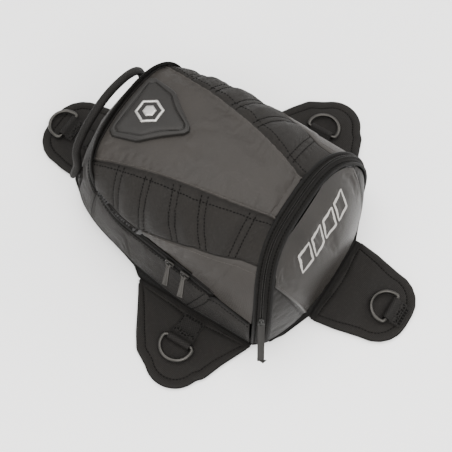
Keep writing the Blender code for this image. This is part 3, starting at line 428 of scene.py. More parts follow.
class Sheet:
    """A grid of points on a surface with its outward normals and its lengths along both ways."""

    def __init__(self, rows, turn=1.0):
        self.points = np.array([[tuple(p) for p in row] for row in rows])
        self.turn = turn
        self.measure()

    def measure(self):
        p = self.points
        n = np.cross(np.gradient(p, axis=0), np.gradient(p, axis=1)) * self.turn
        self.normals = n / (np.linalg.norm(n, axis=2, keepdims=True) + 1e-12)
        along = np.linalg.norm(np.diff(p, axis=0), axis=2)
        across = np.linalg.norm(np.diff(p, axis=1), axis=2)
        self.uv = np.zeros(p.shape[:2] + (2,))
        self.uv[1:, :, 1] = np.cumsum(along.mean(1))[:, None]
        self.uv[:, 1:, 0] = np.cumsum(across, axis=1)
        self.uv[..., 0] -= self.uv[:, p.shape[1] // 2, 0][:, None]

    def face(self, i, j, way):
        """Turns the sheet's normals over where they point against a way at one grid point."""
        if np.dot(self.normals[i, j], np.array(tuple(way))) < 0:
            self.turn = -self.turn
            self.measure()

    def lift(self, amount):
        self.points = self.points + self.normals * amount[..., None]
        self.measure()

    def at(self, i, j, rise=0.0):
        """Point and normal at a fractional place on the grid."""
        r, c = self.points.shape[:2]
        i, j = clamp(i, 0, r - 1.0001), clamp(j, 0, c - 1.0001)
        a, b = int(i), int(j)
        f, g = i - a, j - b
        out = []
        for grid in (self.points, self.normals):
            out.append((grid[a, b] * (1 - f) + grid[a + 1, b] * f) * (1 - g)
                       + (grid[a, b + 1] * (1 - f) + grid[a + 1, b + 1] * f) * g)
        return out[0] + out[1] * rise, out[1]

    def puff(self, held, pressure, slack, cap, step=2):
        """Cloth simulation of the sheet, held where held is true, under a little pressure from inside."""
        r, c = self.points.shape[:2]
        rows = sorted(set(range(0, r, step)) | {r - 1})
        cols = sorted(set(range(0, c, step)) | {c - 1})
        start = self.points[np.ix_(rows, cols)]
        wide = len(cols)
        faces = [(i * wide + j, (i + 1) * wide + j, (i + 1) * wide + j + 1, i * wide + j + 1)
                 for i in range(len(rows) - 1) for j in range(wide - 1)]
        if self.turn < 0:
            faces = [tuple(reversed(f)) for f in faces]
        mesh = bpy.data.meshes.new("cloth")
        mesh.from_pydata([tuple(p) for p in start.reshape(-1, 3)], [], faces)
        obj = bpy.data.objects.new("cloth", mesh)
        bpy.context.scene.collection.objects.link(obj)
        pins = obj.vertex_groups.new(name="held")
        near = np.zeros((len(rows), wide), bool)
        for a, i in enumerate(rows):
            for b, j in enumerate(cols):
                near[a, b] = held[i:i + step, j:j + step].any()
        near[0], near[-1], near[:, 0], near[:, -1] = True, True, True, True
        pins.add([int(k) for k in np.flatnonzero(near.ravel())], 1.0, "REPLACE")
        cloth = obj.modifiers.new("cloth", "CLOTH")
        cloth.settings.vertex_group_mass = "held"
        cloth.settings.quality = 4
        cloth.settings.mass = 0.2
        cloth.settings.bending_stiffness = 0.3
        cloth.settings.use_pressure = True
        cloth.settings.uniform_pressure_force = pressure
        cloth.settings.shrink_min = -slack
        cloth.settings.effector_weights.gravity = 0.0
        cloth.point_cache.frame_end = 16
        for step_at in range(1, 17):
            bpy.context.scene.frame_set(step_at)
        solved = obj.evaluated_get(bpy.context.evaluated_depsgraph_get()).data
        moved = np.empty(len(solved.vertices) * 3)
        solved.vertices.foreach_get("co", moved)
        bpy.data.objects.remove(obj)
        bpy.context.scene.frame_set(1)
        shift = moved.reshape(start.shape) - start
        size = np.linalg.norm(shift, axis=2, keepdims=True)
        shift = shift * np.minimum(1.0, cap / np.maximum(size, 1e-9))
        fine = np.empty((r, wide, 3))
        for k in range(3):
            for j in range(wide):
                fine[:, j, k] = np.interp(range(r), rows, shift[:, j, k])
        full = np.empty((r, c, 3))
        for k in range(3):
            for i in range(r):
                full[i, :, k] = np.interp(range(c), cols, fine[i, :, k])
        self.points = self.points + full
        self.measure()

    def cut(self, name, thick, mats, body, pick=None, lining=None, **more):
        """The sheet as a closed piece of cloth: pick gives each face's finish, lining is that of its back."""
        r, c = self.points.shape[:2]
        outer = self.points.reshape(-1, 3)
        inner = (self.points - self.normals * thick).reshape(-1, 3)
        half = r * c
        faces, chosen = [], []
        for i in range(r - 1):
            for j in range(c - 1):
                k = i * c + j
                faces.append((k, k + c, k + c + 1, k + 1))
                faces.append((half + k, half + k + 1, half + k + c + 1, half + k + c))
                kind = 0 if pick is None else pick(i, j)
                chosen += [kind, kind if lining is None else lining]
        edge = list(range(c)) + [i * c + c - 1 for i in range(1, r)]
        edge += [(r - 1) * c + j for j in range(c - 2, -1, -1)] + [i * c for i in range(r - 2, 0, -1)]
        for k, a in enumerate(edge):
            b = edge[(k + 1) % len(edge)]
            faces.append((a, b, half + b, half + a))
            chosen.append(0 if pick is None else pick(min(a // c, r - 2), min(a % c, c - 2)))
        uv = np.vstack([self.uv.reshape(-1, 2)] * 2)
        return add_piece(name, np.vstack([outer, inner]), faces, mats, body, uv, chosen, **more)


def refinish(name, mat):
    """Gives a solid that stays as it is a finish of its own."""
    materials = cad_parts[name].data.materials
    materials.clear()
    materials.append(mat)


def resample(points, pitch):
    """Points at an even pitch along a line of points."""
    points = np.array(points, float)
    steps = np.linalg.norm(np.diff(points[:, :3], axis=0), axis=1)
    total = np.concatenate([[0], np.cumsum(steps)])
    where = np.arange(pitch / 2, total[-1], pitch)
    return np.stack([np.interp(where, total, points[:, k]) for k in range(points.shape[1])], axis=1)


def stitches(name, lines, body, mat=None, pitch=0.0034, length=0.0023, width=0.0011, **more):
    """Rows of sewn stitches; each line is a list of (point, normal)."""
    points, faces = [], []
    for line in lines:
        flat = resample([tuple(p) + tuple(n) for p, n in line], pitch)
        if len(flat) < 2:
            continue
        way = np.gradient(flat[:, :3], axis=0)
        way /= np.linalg.norm(way, axis=1, keepdims=True) + 1e-12
        for place, t in zip(flat, way):
            p, n = place[:3], place[3:] / np.linalg.norm(place[3:])
            s = np.cross(t, n)
            k = len(points)
            for end, grow in ((-0.5, 0.25), (-0.28, 1.0), (0.28, 1.0), (0.5, 0.25)):
                for a, b in ((1, 0), (0, 1), (-1, 0), (0, -1)):
                    points.append(p + t * end * length + s * a * width / 2 * grow + n * b * width * 0.45 * grow)
            for ring in range(3):
                for m in range(4):
                    a, b = k + ring * 4 + m, k + ring * 4 + (m + 1) % 4
                    faces.append((a, b, b + 4, a + 4))
            faces += [(k + 3, k + 2, k + 1, k), (k + 12, k + 13, k + 14, k + 15)]
    return add_piece(name, points, faces, [mat or THREAD], body, **more)


def tube(name, line, radius, mats, body, sides=10, closed=False, squash=1.0, **more):
    """A cord of cloth or wire along (point, normal) pairs; squash flattens it along the normals."""
    pts = np.array([p for p, _ in line], float)
    nrm = np.array([n for _, n in line], float)
    way = np.gradient(pts, axis=0)
    if closed:
        way = np.roll(pts, -1, 0) - np.roll(pts, 1, 0)
    way /= np.linalg.norm(way, axis=1, keepdims=True)
    nrm = nrm - way * (nrm * way).sum(1, keepdims=True)
    nrm /= np.linalg.norm(nrm, axis=1, keepdims=True)
    side = np.cross(way, nrm)
    radii = radius if hasattr(radius, "__len__") else [radius] * len(pts)
    points, uv, faces = [], [], []
    run = np.concatenate([[0], np.cumsum(np.linalg.norm(np.diff(pts, axis=0), axis=1))])
    for i, p in enumerate(pts):
        for k in range(sides):
            a = 2 * math.pi * k / sides
            points.append(p + side[i] * math.cos(a) * radii[i] + nrm[i] * math.sin(a) * radii[i] * squash)
            uv.append((a * radii[i], run[i]))
    n = len(pts)
    for i in range(n if closed else n - 1):
        for k in range(sides):
            a, b = i * sides + k, i * sides + (k + 1) % sides
            c, d = ((i + 1) % n) * sides + (k + 1) % sides, ((i + 1) % n) * sides + k
            faces.append((a, b, c, d))
    if not closed:
        faces += [tuple(reversed(range(sides))), tuple((n - 1) * sides + k for k in range(sides))]
    return add_piece(name, points, faces, mats, body, uv, **more)


def pad(name, outline, top, bottom, up, mats, body, centre=None, settle=None, pick=None, **more):
    """A flat pad in an outline: top and bottom list (inset, height) from the border to the middle."""
    outline = [np.array(tuple(p), float) for p in outline]
    middle = np.mean(outline, axis=0) if centre is None else np.array(tuple(centre), float)
    up = np.array(up, float)
    points, faces, chosen = [], [], []
    n = len(outline)
    rings = [(k, d, h) for k, (d, h) in enumerate(reversed(bottom))] + [(k, d, h) for k, (d, h) in enumerate(top)]
    for _, inset, height in rings:
        for p in outline:
            away = middle - p
            share = min(inset / max(np.linalg.norm(away), 1e-9), 0.97)
            points.append(p + away * share + up * height)
    for ring in range(len(rings) - 1):
        for i in range(n):
            a, b = ring * n + i, ring * n + (i + 1) % n
            faces.append((a, b, b + n, a + n))
            chosen.append(0 if pick is None else pick(ring - len(bottom)))
    for first, height in ((0, bottom[-1][1]), ((len(rings) - 1) * n, top[-1][1])):
        points.append(middle + up * height)
        for i in range(n):
            faces.append((first + i, first + (i + 1) % n, len(points) - 1))
            chosen.append(0 if pick is None else pick(len(top) - 1 if first else -1))
    uv = [(p[0], p[1]) for p in points]
    if settle is not None:
        points = [settle(p) for p in points]
    return add_piece(name, points, faces, mats, body, uv, chosen, **more)


def rounded(corners, times=3, keep=()):
    """Cuts the corners of a closed outline a few times; the indices in keep stay sharp."""
    points = [(np.array(tuple(p), float), k in keep) for k, p in enumerate(corners)]
    for _ in range(times):
        out = []
        for k, (p, sharp) in enumerate(points):
            before, after = points[k - 1], points[(k + 1) % len(points)]
            if sharp:
                out.append((p, True))
            else:
                out.append((p * 0.75 + before[0] * 0.25, False))
                out.append((p * 0.75 + after[0] * 0.25, False))
        points = out
    return [p for p, _ in points]


def groove(distance, width):
    return np.exp(-(distance / width) ** 2)


def between(outline, count):
    """A closed flat outline with points added along each side; count is a number or a function of the side's ends."""
    dense = []
    for k, p in enumerate(outline):
        after = outline[(k + 1) % len(outline)]
        n = count(p, after) if callable(count) else count
        dense += [(lerp(p[0], after[0], i / n), lerp(p[1], after[1], i / n), 0.0) for i in range(n)]
    return dense


def waves(uv, sizes, seed):
    """Slow uneven waves over a sheet, for cloth that doesn't lie quite flat."""
    pick = np.random.default_rng(seed)
    total = np.zeros(uv.shape[:2])
    for size in sizes:
        for _ in range(3):
            angle, phase = pick.uniform(0, math.pi), pick.uniform(0, 2 * math.pi)
            total += np.sin((uv[..., 0] * math.cos(angle) + uv[..., 1] * math.sin(angle)) / size * 2 * math.pi + phase)
    return total / (3 * len(sizes))


# ---------------------------------------------------------------- the lid
QUILT_LINES = ((0.0777, 0.0690), (0.0486, 0.0367), (0.0210, -0.0010), (-0.0065, -0.0297), (-0.0530, -0.0555))
PAIR_HALF = 0.0031
FOLD_AT = np.array((0.0, FOLD_TOP_Y, ARCH_TOP[1] + 0.0012))
FOLD_WAY = np.array((0.0, 0.958, 0.288))
ACROSS_FOLD = ("bag", "lid", tuple(FOLD_AT - FOLD_WAY * 0.0035), tuple(FOLD_AT + FOLD_WAY * 0.0120))


def lid_limits(u):
    """v on the left half: the zip tape's edge, the top of the wedge, the edge of the top panel."""
    foot_z = lid_surface(0.0, u).z
    nose = clamp((u - 0.76) / 0.08)
    low = lid_v_at(u, height=foot_z + lerp(0.0062, 0.0008, nose))
    place = lid_surface(low, u)
    share = clamp((0.0420 - place.y) / 0.0420) ** 0.42
    wedge_z = lerp(place.z + 0.0006, lerp(0.1035, 0.1055, clamp(-place.y / 0.05)), share)
    wedge = max(lid_v_at(u, height=wedge_z), low + 0.004)
    half = smooth_value(TOP_PANEL_X, min(u / FOLD_U, 1.0))[0]
    return low, wedge, lid_v_at(u, half_x=half)


def make_lid():
    rows = spread(0.008, FOLD_U, LID_ROWS) + spread(FOLD_U, 0.988, FOLD_ROWS)[1:]
    counts = (14, 36, 66, 36, 14)
    stops = np.cumsum((0,) + counts)
    grid = []
    for u in rows:
        low, wedge, edge = lid_limits(u)
        marks = (low, wedge, edge, 1 - edge, 1 - wedge, 1 - low)
        vs = [lerp(marks[k], marks[k + 1], i / n) for k, n in enumerate(counts) for i in range(n)] + [1 - low]
        grid.append([lid_surface(v, u) for v in vs])
    sheet = Sheet(grid)
    r, c = sheet.points.shape[:2]
    seams = np.zeros((r, c), bool)
    for stop in stops[1:-1]:
        seams[:, stop] = True
    across = np.arange(c)
    inside = {}
    for side, first, last in (("left", stops[1], stops[2]), ("right", stops[4], stops[3])):
        share = (across - first) / (last - first)
        inside[side] = np.clip(share, 0, 1)
        on = (share >= 0) & (share <= 1)
        for top_y, low_y in QUILT_LINES:
            line = lerp(low_y, top_y, inside[side])
            for way in (-1, 1):
                d = np.abs(sheet.points[..., 1] - line[None, :] - way * PAIR_HALF)
                seams |= (d < 0.0009) & on[None, :]
    x, y = sheet.points[..., 0], sheet.points[..., 1]
    seams |= (np.abs(x) < 0.0400) & (y > 0.0340) & (y < 0.1110)
    seams[ARCH_HOLD_ROW:] = True
    sheet.puff(seams, 2.2, 0.012, 0.0024)

    lift = np.full((r, c), 0.0012)
    y = sheet.points[..., 1]
    for side, first, last in (("left", stops[1], stops[2]), ("right", stops[4], stops[3])):
        step = 1 if last > first else -1
        part = np.arange(first, last + step, step)
        share = inside[side][part]
        edge = np.minimum(1.0, np.minimum(share, 1 - share) / 0.10)
        fill = np.ones((r, len(part)))
        for top_y, low_y in QUILT_LINES:
            line = lerp(low_y, top_y, share)[None, :]
            d = np.abs(y[:, part] - line)
            fill *= 1 - 0.75 * groove(np.maximum(d - PAIR_HALF, 0.0), 0.0060)
            for way in (-1, 1):
                fill -= 0.42 * groove(y[:, part] - line - way * PAIR_HALF, 0.0010)
        lift[:, part] += 0.0021 * fill * edge[None, :] - 0.0008
    lift += 0.0005 * waves(sheet.uv, (0.050, 0.028), 3)
    # the coated panels' folded edges stand over the quilt beside them; the wedges' edges fade out where they narrow
    wedge_width = sheet.uv[:, stops[1], 0] - sheet.uv[:, 0, 0]
    wedge_rise = 0.0010 * np.clip((wedge_width - 0.003) / 0.010, 0, 1)[:, None]
    for stop, coated_side, rise in ((stops[1], -1, wedge_rise), (stops[2], 1, 0.0014), (stops[3], -1, 0.0014),
                                    (stops[4], 1, wedge_rise)):
        d = np.abs(sheet.uv[..., 0] - sheet.uv[:, stop][:, None, 0])
        over = np.sign(across - stop)[None, :] * coated_side >= 0
        lift += np.where(over, rise * groove(d - 0.0012, 0.0016), -0.0011 * groove(d, 0.0022))
    # the borders lie under the zip's tape
    lift[:9] -= np.linspace(0.0016, 0.0, 9)[:, None]
    for k, drop in enumerate((0.0016, 0.0012, 0.0006)):
        lift[:TUCKED_ROWS, k] -= drop
        lift[:TUCKED_ROWS, -1 - k] -= drop
    sheet.lift(lift)

    def finish(i, j):
        if stops[2] <= j < stops[3]:
            return 0
        wedge = j < stops[1] or j >= stops[4]
        return 0 if wedge and y[i, j] < 0.0425 else 1

    cover = sheet.cut("lid_cover", 0.0030, [COATED, NYLON, LINING], ACROSS_FOLD, finish, 2, replaces=(
        "top_panel", "lid_lining", "quilt_panel_left", "quilt_panel_right", "wedge_panel_left", "wedge_panel_right",
        "nose_quilt_left", "nose_quilt_right", "nose_wedge_left", "nose_wedge_right"), slot="grey_coated_fabric")

    rows_y = lambda j: y[:, int(clamp(round(j), 0, c - 1))]
    pairs, tops, folds = [], [], []
    for side, first, last in (("left", stops[1], stops[2]), ("right", stops[4], stops[3])):
        for top_y, low_y in QUILT_LINES:
            for way in (-1, 1):
                line = []
                for share in spread(0.035, 0.955, 46):
                    j = lerp(first, last, share)
                    want = lerp(low_y, top_y, share) + way * PAIR_HALF
                    column = rows_y(j)[::-1]
                    i = np.interp(want, column, np.arange(r)[::-1])
                    line.append(sheet.at(i, j, ON_CLOTH))
                pairs.append(line)
        step = 1 if last > first else -1
        tops.append([sheet.at(i, last - step * 4.4, ON_CLOTH) for i in range(3, r - 2)])
        folds.append([sheet.at(i, last + step * 1.6, ON_CLOTH) for i in range(3, r - 2)])
        folds.append([sheet.at(i, first - step * 1.6, ON_CLOTH) for i in range(r) if y[i, first] < 0.030][:-2])
    stitches("quilt_stitching", pairs, ACROSS_FOLD)
    stitches("lid_seam_stitching", tops, ACROSS_FOLD)
    stitches("lid_fold_topstitching", folds, ACROSS_FOLD, PALE_THREAD, 0.0027, 0.0022, 0.0006)
    for name, stop, step in (("left", stops[2], 1), ("right", stops[3], -1)):
        lines = [[sheet.at(r - 3 - k * 0.9, stop + step * (3.0 + m * 0.55), 0.0002) for k in range(14)]
                 for m in range(6)]
        stitches(f"lid_bartack_{name}", lines, ACROSS_FOLD, None, 0.0011, 0.0014, 0.0009)
    border = [sheet.at(2.0, j, 0.0003) for j in np.linspace(0.5, c - 1.5, 180)]
    tube("lid_rear_binding", border, 0.0014, [BINDING], "lid", 8, squash=0.7)
    return sheet


def shield_outline(front, rear, half, mid):
    right = [(0.0, front), (0.0050, front + 0.0025), (0.0180, front + 0.0200), mid, (half, rear - 0.0060),
             (half - 0.0040, rear - 0.0005), (0.0, rear + 0.0012)]
    return rounded(between(right + [(-x, y) for x, y in reversed(right[1:-1])], 4), 1)


def make_emblem():
    """A moulded shield with a recessed border, and a plain six-sided silver badge."""
    heights = {}

    def settle(p):
        key = (round(p[0], 4), round(p[1], 4))
        if key not in heights:
            heights[key] = lid_height(p[0], p[1])
        return (p[0], p[1], p[2] + heights[key])

    outline = shield_outline(0.0385, 0.1085, 0.0382, (0.0328, 0.0760))
    top = [(0.0002, 0.0040), (0.0006, 0.0050), (0.0014, 0.0056), (0.0046, 0.0058), (0.0052, 0.0056), (0.0056, 0.0046),
           (0.0062, 0.0042), (0.0066, 0.0042), (0.0071, 0.0050), (0.0078, 0.0053), (0.0120, 0.0054), (0.0180, 0.0054),
           (0.0240, 0.0053), (0.0300, 0.0053)]
    bottom = [(0.0, 0.0008), (0.0100, 0.0006), (0.0200, 0.0006), (0.0300, 0.0006)]
    pad("emblem_moulding", outline, top, bottom, (0, 0, 1), [MOULDED], "lid", (0.0, 0.0800, 0.0), settle,
        replaces=("emblem_shield",), slot="moulded_rubber")

    def hexagon(radius):
        corners = [(radius * math.cos(math.radians(a)), 0.0840 + radius * math.sin(math.radians(a)))
                   for a in range(0, 360, 60)]
        return [(lerp(p[0], q[0], f), lerp(p[1], q[1], f), 0.0) for p, q in zip(corners, corners[1:] + corners[:1])
                for f in spread(0.03, 0.97, 5)]

    pad("badge_rim", hexagon(0.0148), [(0.0001, 0.0060), (0.0006, 0.0068), (0.0024, 0.0069), (0.0030, 0.0064),
                                       (0.0032, 0.0056), (0.0060, 0.0056)], [(0.0, 0.0048), (0.0060, 0.0048)],
        (0, 0, 1), [SILVER, MOULDED], "lid", None, settle, lambda k: 0 if k < 4 else 1, replaces=("emblem_badge",),
        slot="silver_badge")
    pad("badge_heart", hexagon(0.0070), [(0.0001, 0.0064), (0.0005, 0.0069), (0.0020, 0.0070)],
        [(0.0, 0.0052), (0.0020, 0.0052)], (0, 0, 1), [SILVER], "lid", None, settle, slot="silver_badge")


# ---------------------------------------------------------------- the tub, its zip and its base
def make_tub():
    columns = spread(0.012, 1.0, TUB_COLUMNS)
    marks = columns + columns[::-1][1:]
    sides = [-1.0] * len(columns) + [1.0] * (len(columns) - 1)

    def top(t):
        a, b = base_point(t), rim_point(t)
        along = (rim_point(min(t + 0.01, 1.0)) - rim_point(max(t - 0.01, 0.0))).normalized()
        square = (a - b).normalized().cross(along).length
        behind = clamp((t - ZIP_END + 0.02) / 0.03)
        return 1 - lerp(0.0008, 0.0062, behind) / (b - a).length / max(square, 0.3)

    tops = {t: top(t) for t in columns}
    rows = spread(0.0, 1.0, 44)
    grid = []
    for s in rows:
        line = []
        for t, side in zip(marks, sides):
            p = tub_surface(t, lerp(0.012, tops[t], s))
            line.append((p.x * side, p.y, p.z))
        grid.append(line)
    sheet = Sheet(grid)
    r, c = sheet.points.shape[:2]
    held = np.zeros((r, c), bool)
    t_of = np.array(marks)
    seam_t = np.array([ZIP_END + lerp(0.030, 0.004, s) for s in rows])
    seam = np.abs(t_of[None, :] - seam_t[:, None])
    held |= seam < 0.004
    held |= (np.array(rows) < 0.20)[:, None]
    held |= ((np.abs(t_of - 0.775) < 0.03)[None, :]) & (np.abs(np.array(rows) - 0.44) < 0.20)[:, None]
    sheet.puff(held, 1.2, 0.010, 0.0030)
    scale = 0.30
    lift = 0.0007 + 0.0006 * waves(sheet.uv, (0.070, 0.035), 5)
    lift += 0.0013 * groove(seam * scale, 0.0011) - 0.0009 * groove(seam * scale - 0.0030, 0.0012)
    corner = np.abs(t_of[None, :] - CORNER) * scale
    lift += 0.0009 * groove(corner, 0.0011) - 0.0005 * groove(corner - 0.0026, 0.0012)
    low = np.array(rows)[:, None]
    lift += 0.0004 * np.sin(low * 9) * groove(np.abs(t_of[None, :] - 0.5) - 0.1, 0.25)
    sheet.lift(0.0002 + (lift - 0.0002) * np.clip(low / 0.16, 0, 1))
    cover = sheet.cut("tub_cover", 0.0026, [NYLON, LINING], "bag", None, 1, replaces=(
        "tub_wall_left", "tub_wall_right", "tub_wall_rear", "nose_wall_left", "nose_wall_right"), slot="black_nylon")
    lines = []
    for side in (-1, 1):
        for shift in (-0.0085, 0.0085):
            line = []
            for i in range(1, r - 1):
                want = seam_t[i] + shift
                j = np.interp(want, columns, range(len(columns)))
                line.append(sheet.at(i, j if side < 0 else c - 1 - j, ON_CLOTH))
            lines.append(line)
        j = np.interp(CORNER + CORNER_STITCH, columns, range(len(columns)))
        lines.append([sheet.at(i, j if side < 0 else c - 1 - j, ON_CLOTH) for i in range(1, r - 1)])
    lines.append([sheet.at(r - 2.0, j, ON_CLOTH) for j in np.linspace(28, c - 29, 320)])
    stitches("tub_stitching", lines, "bag")
    foot = [sheet.at(0.7, j, -0.0004) for j in np.linspace(0.2, c - 1.2, 240)]
    tube("tub_foot_piping", foot, 0.0012, [PIPING], "bag", 8)
    nose = []
    for side, name in ((-1, "left"), (1, "right")):
        js = [j if side < 0 else c - 1 - j for j in np.linspace(0.3, ZIP_END * TUB_COLUMNS - 1.0, 30)]
        tube(f"nose_piping_{name}", [sheet.at(r - 1.4, j, 0.0007) for j in js], 0.0012, [PIPING], "bag", 8)
        nose.append([sheet.at(r - 6.0, j, ON_CLOTH) for j in js])
    stitches("nose_stitching", nose, "bag")


def rim_path(count=150):
    """Points of the zip line with its outward way and its way up into the lid."""
    right = []
    for t in spread(ZIP_END - 0.004, 1.0, count):
        p = rim_point(t)
        along = (rim_point(min(t + 0.01, 1.0)) - rim_point(max(t - 0.01, 0.0))).normalized()
        if t > 0.999:
            along = Vector((-1.0, 0.0, 0.0))
        down = (base_point(t) - p).normalized()
        into = (-down - along * (-down).dot(along)).normalized()
        right.append((p, along.cross(into).normalized(), into))
    flip = Vector((-1.0, 1.0, 1.0))
    left = [(p * flip, o * flip, i * flip) for p, o, i in reversed(right)]
    return right + left[1:]


def make_zip():
    """Two tapes with piped outer edges; the coils meet in a ridge between them."""
    path = rim_path()
    lower = ((-0.0074, 0.0010), (-0.0070, 0.0018), (-0.0062, 0.0021), (-0.0054, 0.0017), (-0.0048, 0.0008),
             (-0.0034, 0.0008), (-0.0020, 0.0010), (-0.0013, 0.0017), (-0.0006, 0.0018), (-0.0002, 0.0010))
    tuck = ((0.0002, -0.0004), (0.0012, -0.0008))
    for name, profile, body, solid in (
            ("zip_tape_tub", lower + tuck, "bag", "tub_zip_tape"),
            ("zip_tape_lid", [(-s, h) for s, h in reversed(lower)], "lid", "lid_zip_tape")):
        sheet = Sheet([[tuple(p + into * s + out * h) for s, h in profile] for p, out, into in path])
        sheet.face(40, 4, path[40][1])
        sheet.cut(name, 0.0012, [TAPE], body, replaces=(solid,), slot="zip_tape")
    teeth = []
    for side in (-1, 1):
        teeth.append([(np.array(tuple(p + into * 0.0010 * side + out * 0.0017)), np.array(tuple(out)))
                      for p, out, into in path[1:-1]])
    stitches("zip_coil_tub", teeth[:1], "bag", COIL, 0.0016, 0.0011, 0.0013)
    stitches("zip_coil_lid", teeth[1:], "lid", COIL, 0.0016, 0.0011, 0.0013)
    for name, body, side in (("zip_stitching_tub", "bag", -1), ("zip_stitching_lid", "lid", 1)):
        line = [(np.array(tuple(p + into * 0.0044 * side + out * 0.0010)), np.array(tuple(out)))
                for p, out, into in path[1:-1]]
        stitches(name, [line], body)


def base_outline():
    right = [(0.0, FRONT_Y), (0.0470, FRONT_Y), (0.0800, -0.1215), (FLAP_X + 0.0030, -0.1085), (SIDE_X, -0.1000),
             (SIDE_X, 0.0360), (0.0970, 0.0470), (0.0915, 0.0640), (0.0790, 0.1070), (0.0600, 0.1405),
             (0.0460, MAT_REAR_Y), (0.0, MAT_REAR_Y)]
    return rounded(between(right + [(-x, y) for x, y in reversed(right[1:-1])], 4), 1)


def make_base():
    outline = base_outline()
    top = [(0.0, 0.0022), (0.0004, 0.0034), (0.0012, 0.0040), (0.0024, 0.0041), (0.0040, 0.0037), (0.0200, 0.0036),
           (0.0500, 0.0036)]
    bottom = [(0.0004, 0.0008), (0.0014, 0.0001), (0.0050, 0.0), (0.0100, 0.0), (0.0400, 0.0)]
    pad("base_mat_rubber", outline, top, bottom, (0, 0, 1), [RUBBER], "bag", (0.0, 0.01, 0.0),
        replaces=("base_mat",), slot="anti_slip_rubber")
    line = []
    for p in outline:
        away = p - np.array((0.0, 0.01, 0.0))
        away /= np.linalg.norm(away)
        line.append((p - away * 0.0011 + np.array((0, 0, 0.0030)), away))
    tube("base_binding", line, 0.0013, [BINDING], "bag", 8, True)
    refinish("floor_board", BOARD)


# ---------------------------------------------------------------- the front pocket
def make_band():
    """The zip band round the pocket: a piped edge on each side and the reversed coil in its middle."""
    qs = spread(0.005, 0.995, 240)
    half_profile = ((0.000, 0.0004), (0.030, 0.0020), (0.070, 0.0028), (0.110, 0.0022), (0.145, 0.0010),
                    (0.20, 0.0008), (0.28, 0.0008), (0.36, 0.0009), (0.405, 0.0015), (0.445, 0.0022), (0.480, 0.0020),
                    (0.492, 0.0010))
    sheets = {}
    for name, profile, body, nodes in (
            ("arch_band_cloth", half_profile, "bag", ("arch_band", "arch_zip_teeth")),
            ("flap_band_cloth", [(1 - t, h) for t, h in reversed(half_profile)], "flap",
             ("flap_band", "flap_zip_teeth"))):
        sheet = Sheet([[tuple(band_surface(q, t)) for t, _ in profile] for q in qs], -1.0)
        sheet.lift(np.array([[h for _, h in profile]] * len(qs)))
        sheet.cut(name, 0.0020, [BINDING], body, replaces=nodes, slot="black_nylon")
        sheets[body] = sheet
    arch, flap = sheets["bag"], sheets["flap"]
    n = len(half_profile)
    rows = range(1, len(qs) - 1)
    stitches("arch_band_stitching", [[arch.at(i, 4.6, ON_CLOTH) for i in rows]], "bag")
    stitches("flap_band_stitching", [[flap.at(i, n - 1 - 4.6, ON_CLOTH) for i in rows]], "flap")
    stitches("arch_zip_coil", [[arch.at(i, 9.2, ON_CLOTH) for i in rows]], "bag", COIL, 0.0016, 0.0011, 0.0014)
    stitches("flap_zip_coil", [[flap.at(i, n - 1 - 9.2, ON_CLOTH) for i in rows]], "flap", COIL, 0.0016, 0.0011, 0.0014)
    tube("arch_rear_piping", [arch.at(i, 0.9, 0.0004) for i in rows], 0.0014, [PIPING], "bag", 8)
    tube("pocket_piping", [flap.at(i, n - 1.9, 0.0006) for i in rows], 0.0016, [PIPING], "flap", 8)


def make_flap():
    z_low, z_high = FLOOR_T + GAP * 3, FLAP_TOP[1] - 0.0022

    def limits(z):
        edge = flap_half((z + 0.0012 - FLOOR_T) / (FLAP_TOP[1] - FLOOR_T))[0] - 0.0012
        seam = lerp(0.0500, 0.0760, (z - z_low) / (0.0995 - z_low))
        return max(edge, 0.004), min(seam, edge * 0.985)

    heights = [lerp(z_low, z_high, 1 - (1 - k / 72) ** 1.5) for k in range(73)]
    counts = (18, 84, 18)
    grid = []
    for z in heights:
        edge, seam = limits(z)
        marks = (-edge, -seam, seam, edge)
        xs = [lerp(marks[k], marks[k + 1], i / m) for k, m in enumerate(counts) for i in range(m)] + [edge]
        grid.append([(x, flap_y(x, z) - 0.0004, z) for x in xs])
    sheet = Sheet(grid, -1.0)
    r, c = sheet.points.shape[:2]
    a, b = counts[0], counts[0] + counts[1]
    held = np.zeros((r, c), bool)
    held[:, a] = held[:, b] = True
    held[-16:] = True
    sheet.puff(held, 1.5, 0.008, 0.0022)
    lift = 0.0005 * waves(sheet.uv, (0.080, 0.045), 9)
    for stop, side in ((a, -1), (b, 1)):
        d = np.abs(sheet.points[..., 0] - sheet.points[:, stop][:, None, 0])
        low = np.array(heights)[:, None] < 0.1010
        over = (np.arange(c)[None, :] - stop) * side <= 0
        lift += np.where(low, np.where(over, 0.0009 * groove(d - 0.0012, 0.0016), -0.0010 * groove(d, 0.0024)), 0.0)
    sheet.lift(lift)

    def finish(i, j):
        return 1 if (j < a or j >= b) and heights[i] < 0.1000 else 0

    cover = sheet.cut("flap_cover", 0.0024, [GLOSSY, GUSSET, LINING], "flap", finish, 2,
                      replaces=("flap_panel", "flap_gusset_left", "flap_gusset_right"), slot="grey_glossy_fabric")
    top = int(np.searchsorted(heights, 0.0985))
    lines = [[sheet.at(i, j, ON_CLOTH) for i in range(1, top)] for j in (a + 1.6, b - 1.6)]
    stitches("flap_topstitching", lines, "flap", PALE_THREAD, 0.0027, 0.0022, 0.0006)
    make_print(sheet, heights)
    foot = [sheet.at(0.6, j, 0.0005) for j in np.linspace(0.4, c - 1.4, 120)]
    tube("flap_foot_binding", foot, 0.0013, [BINDING], "flap", 8)


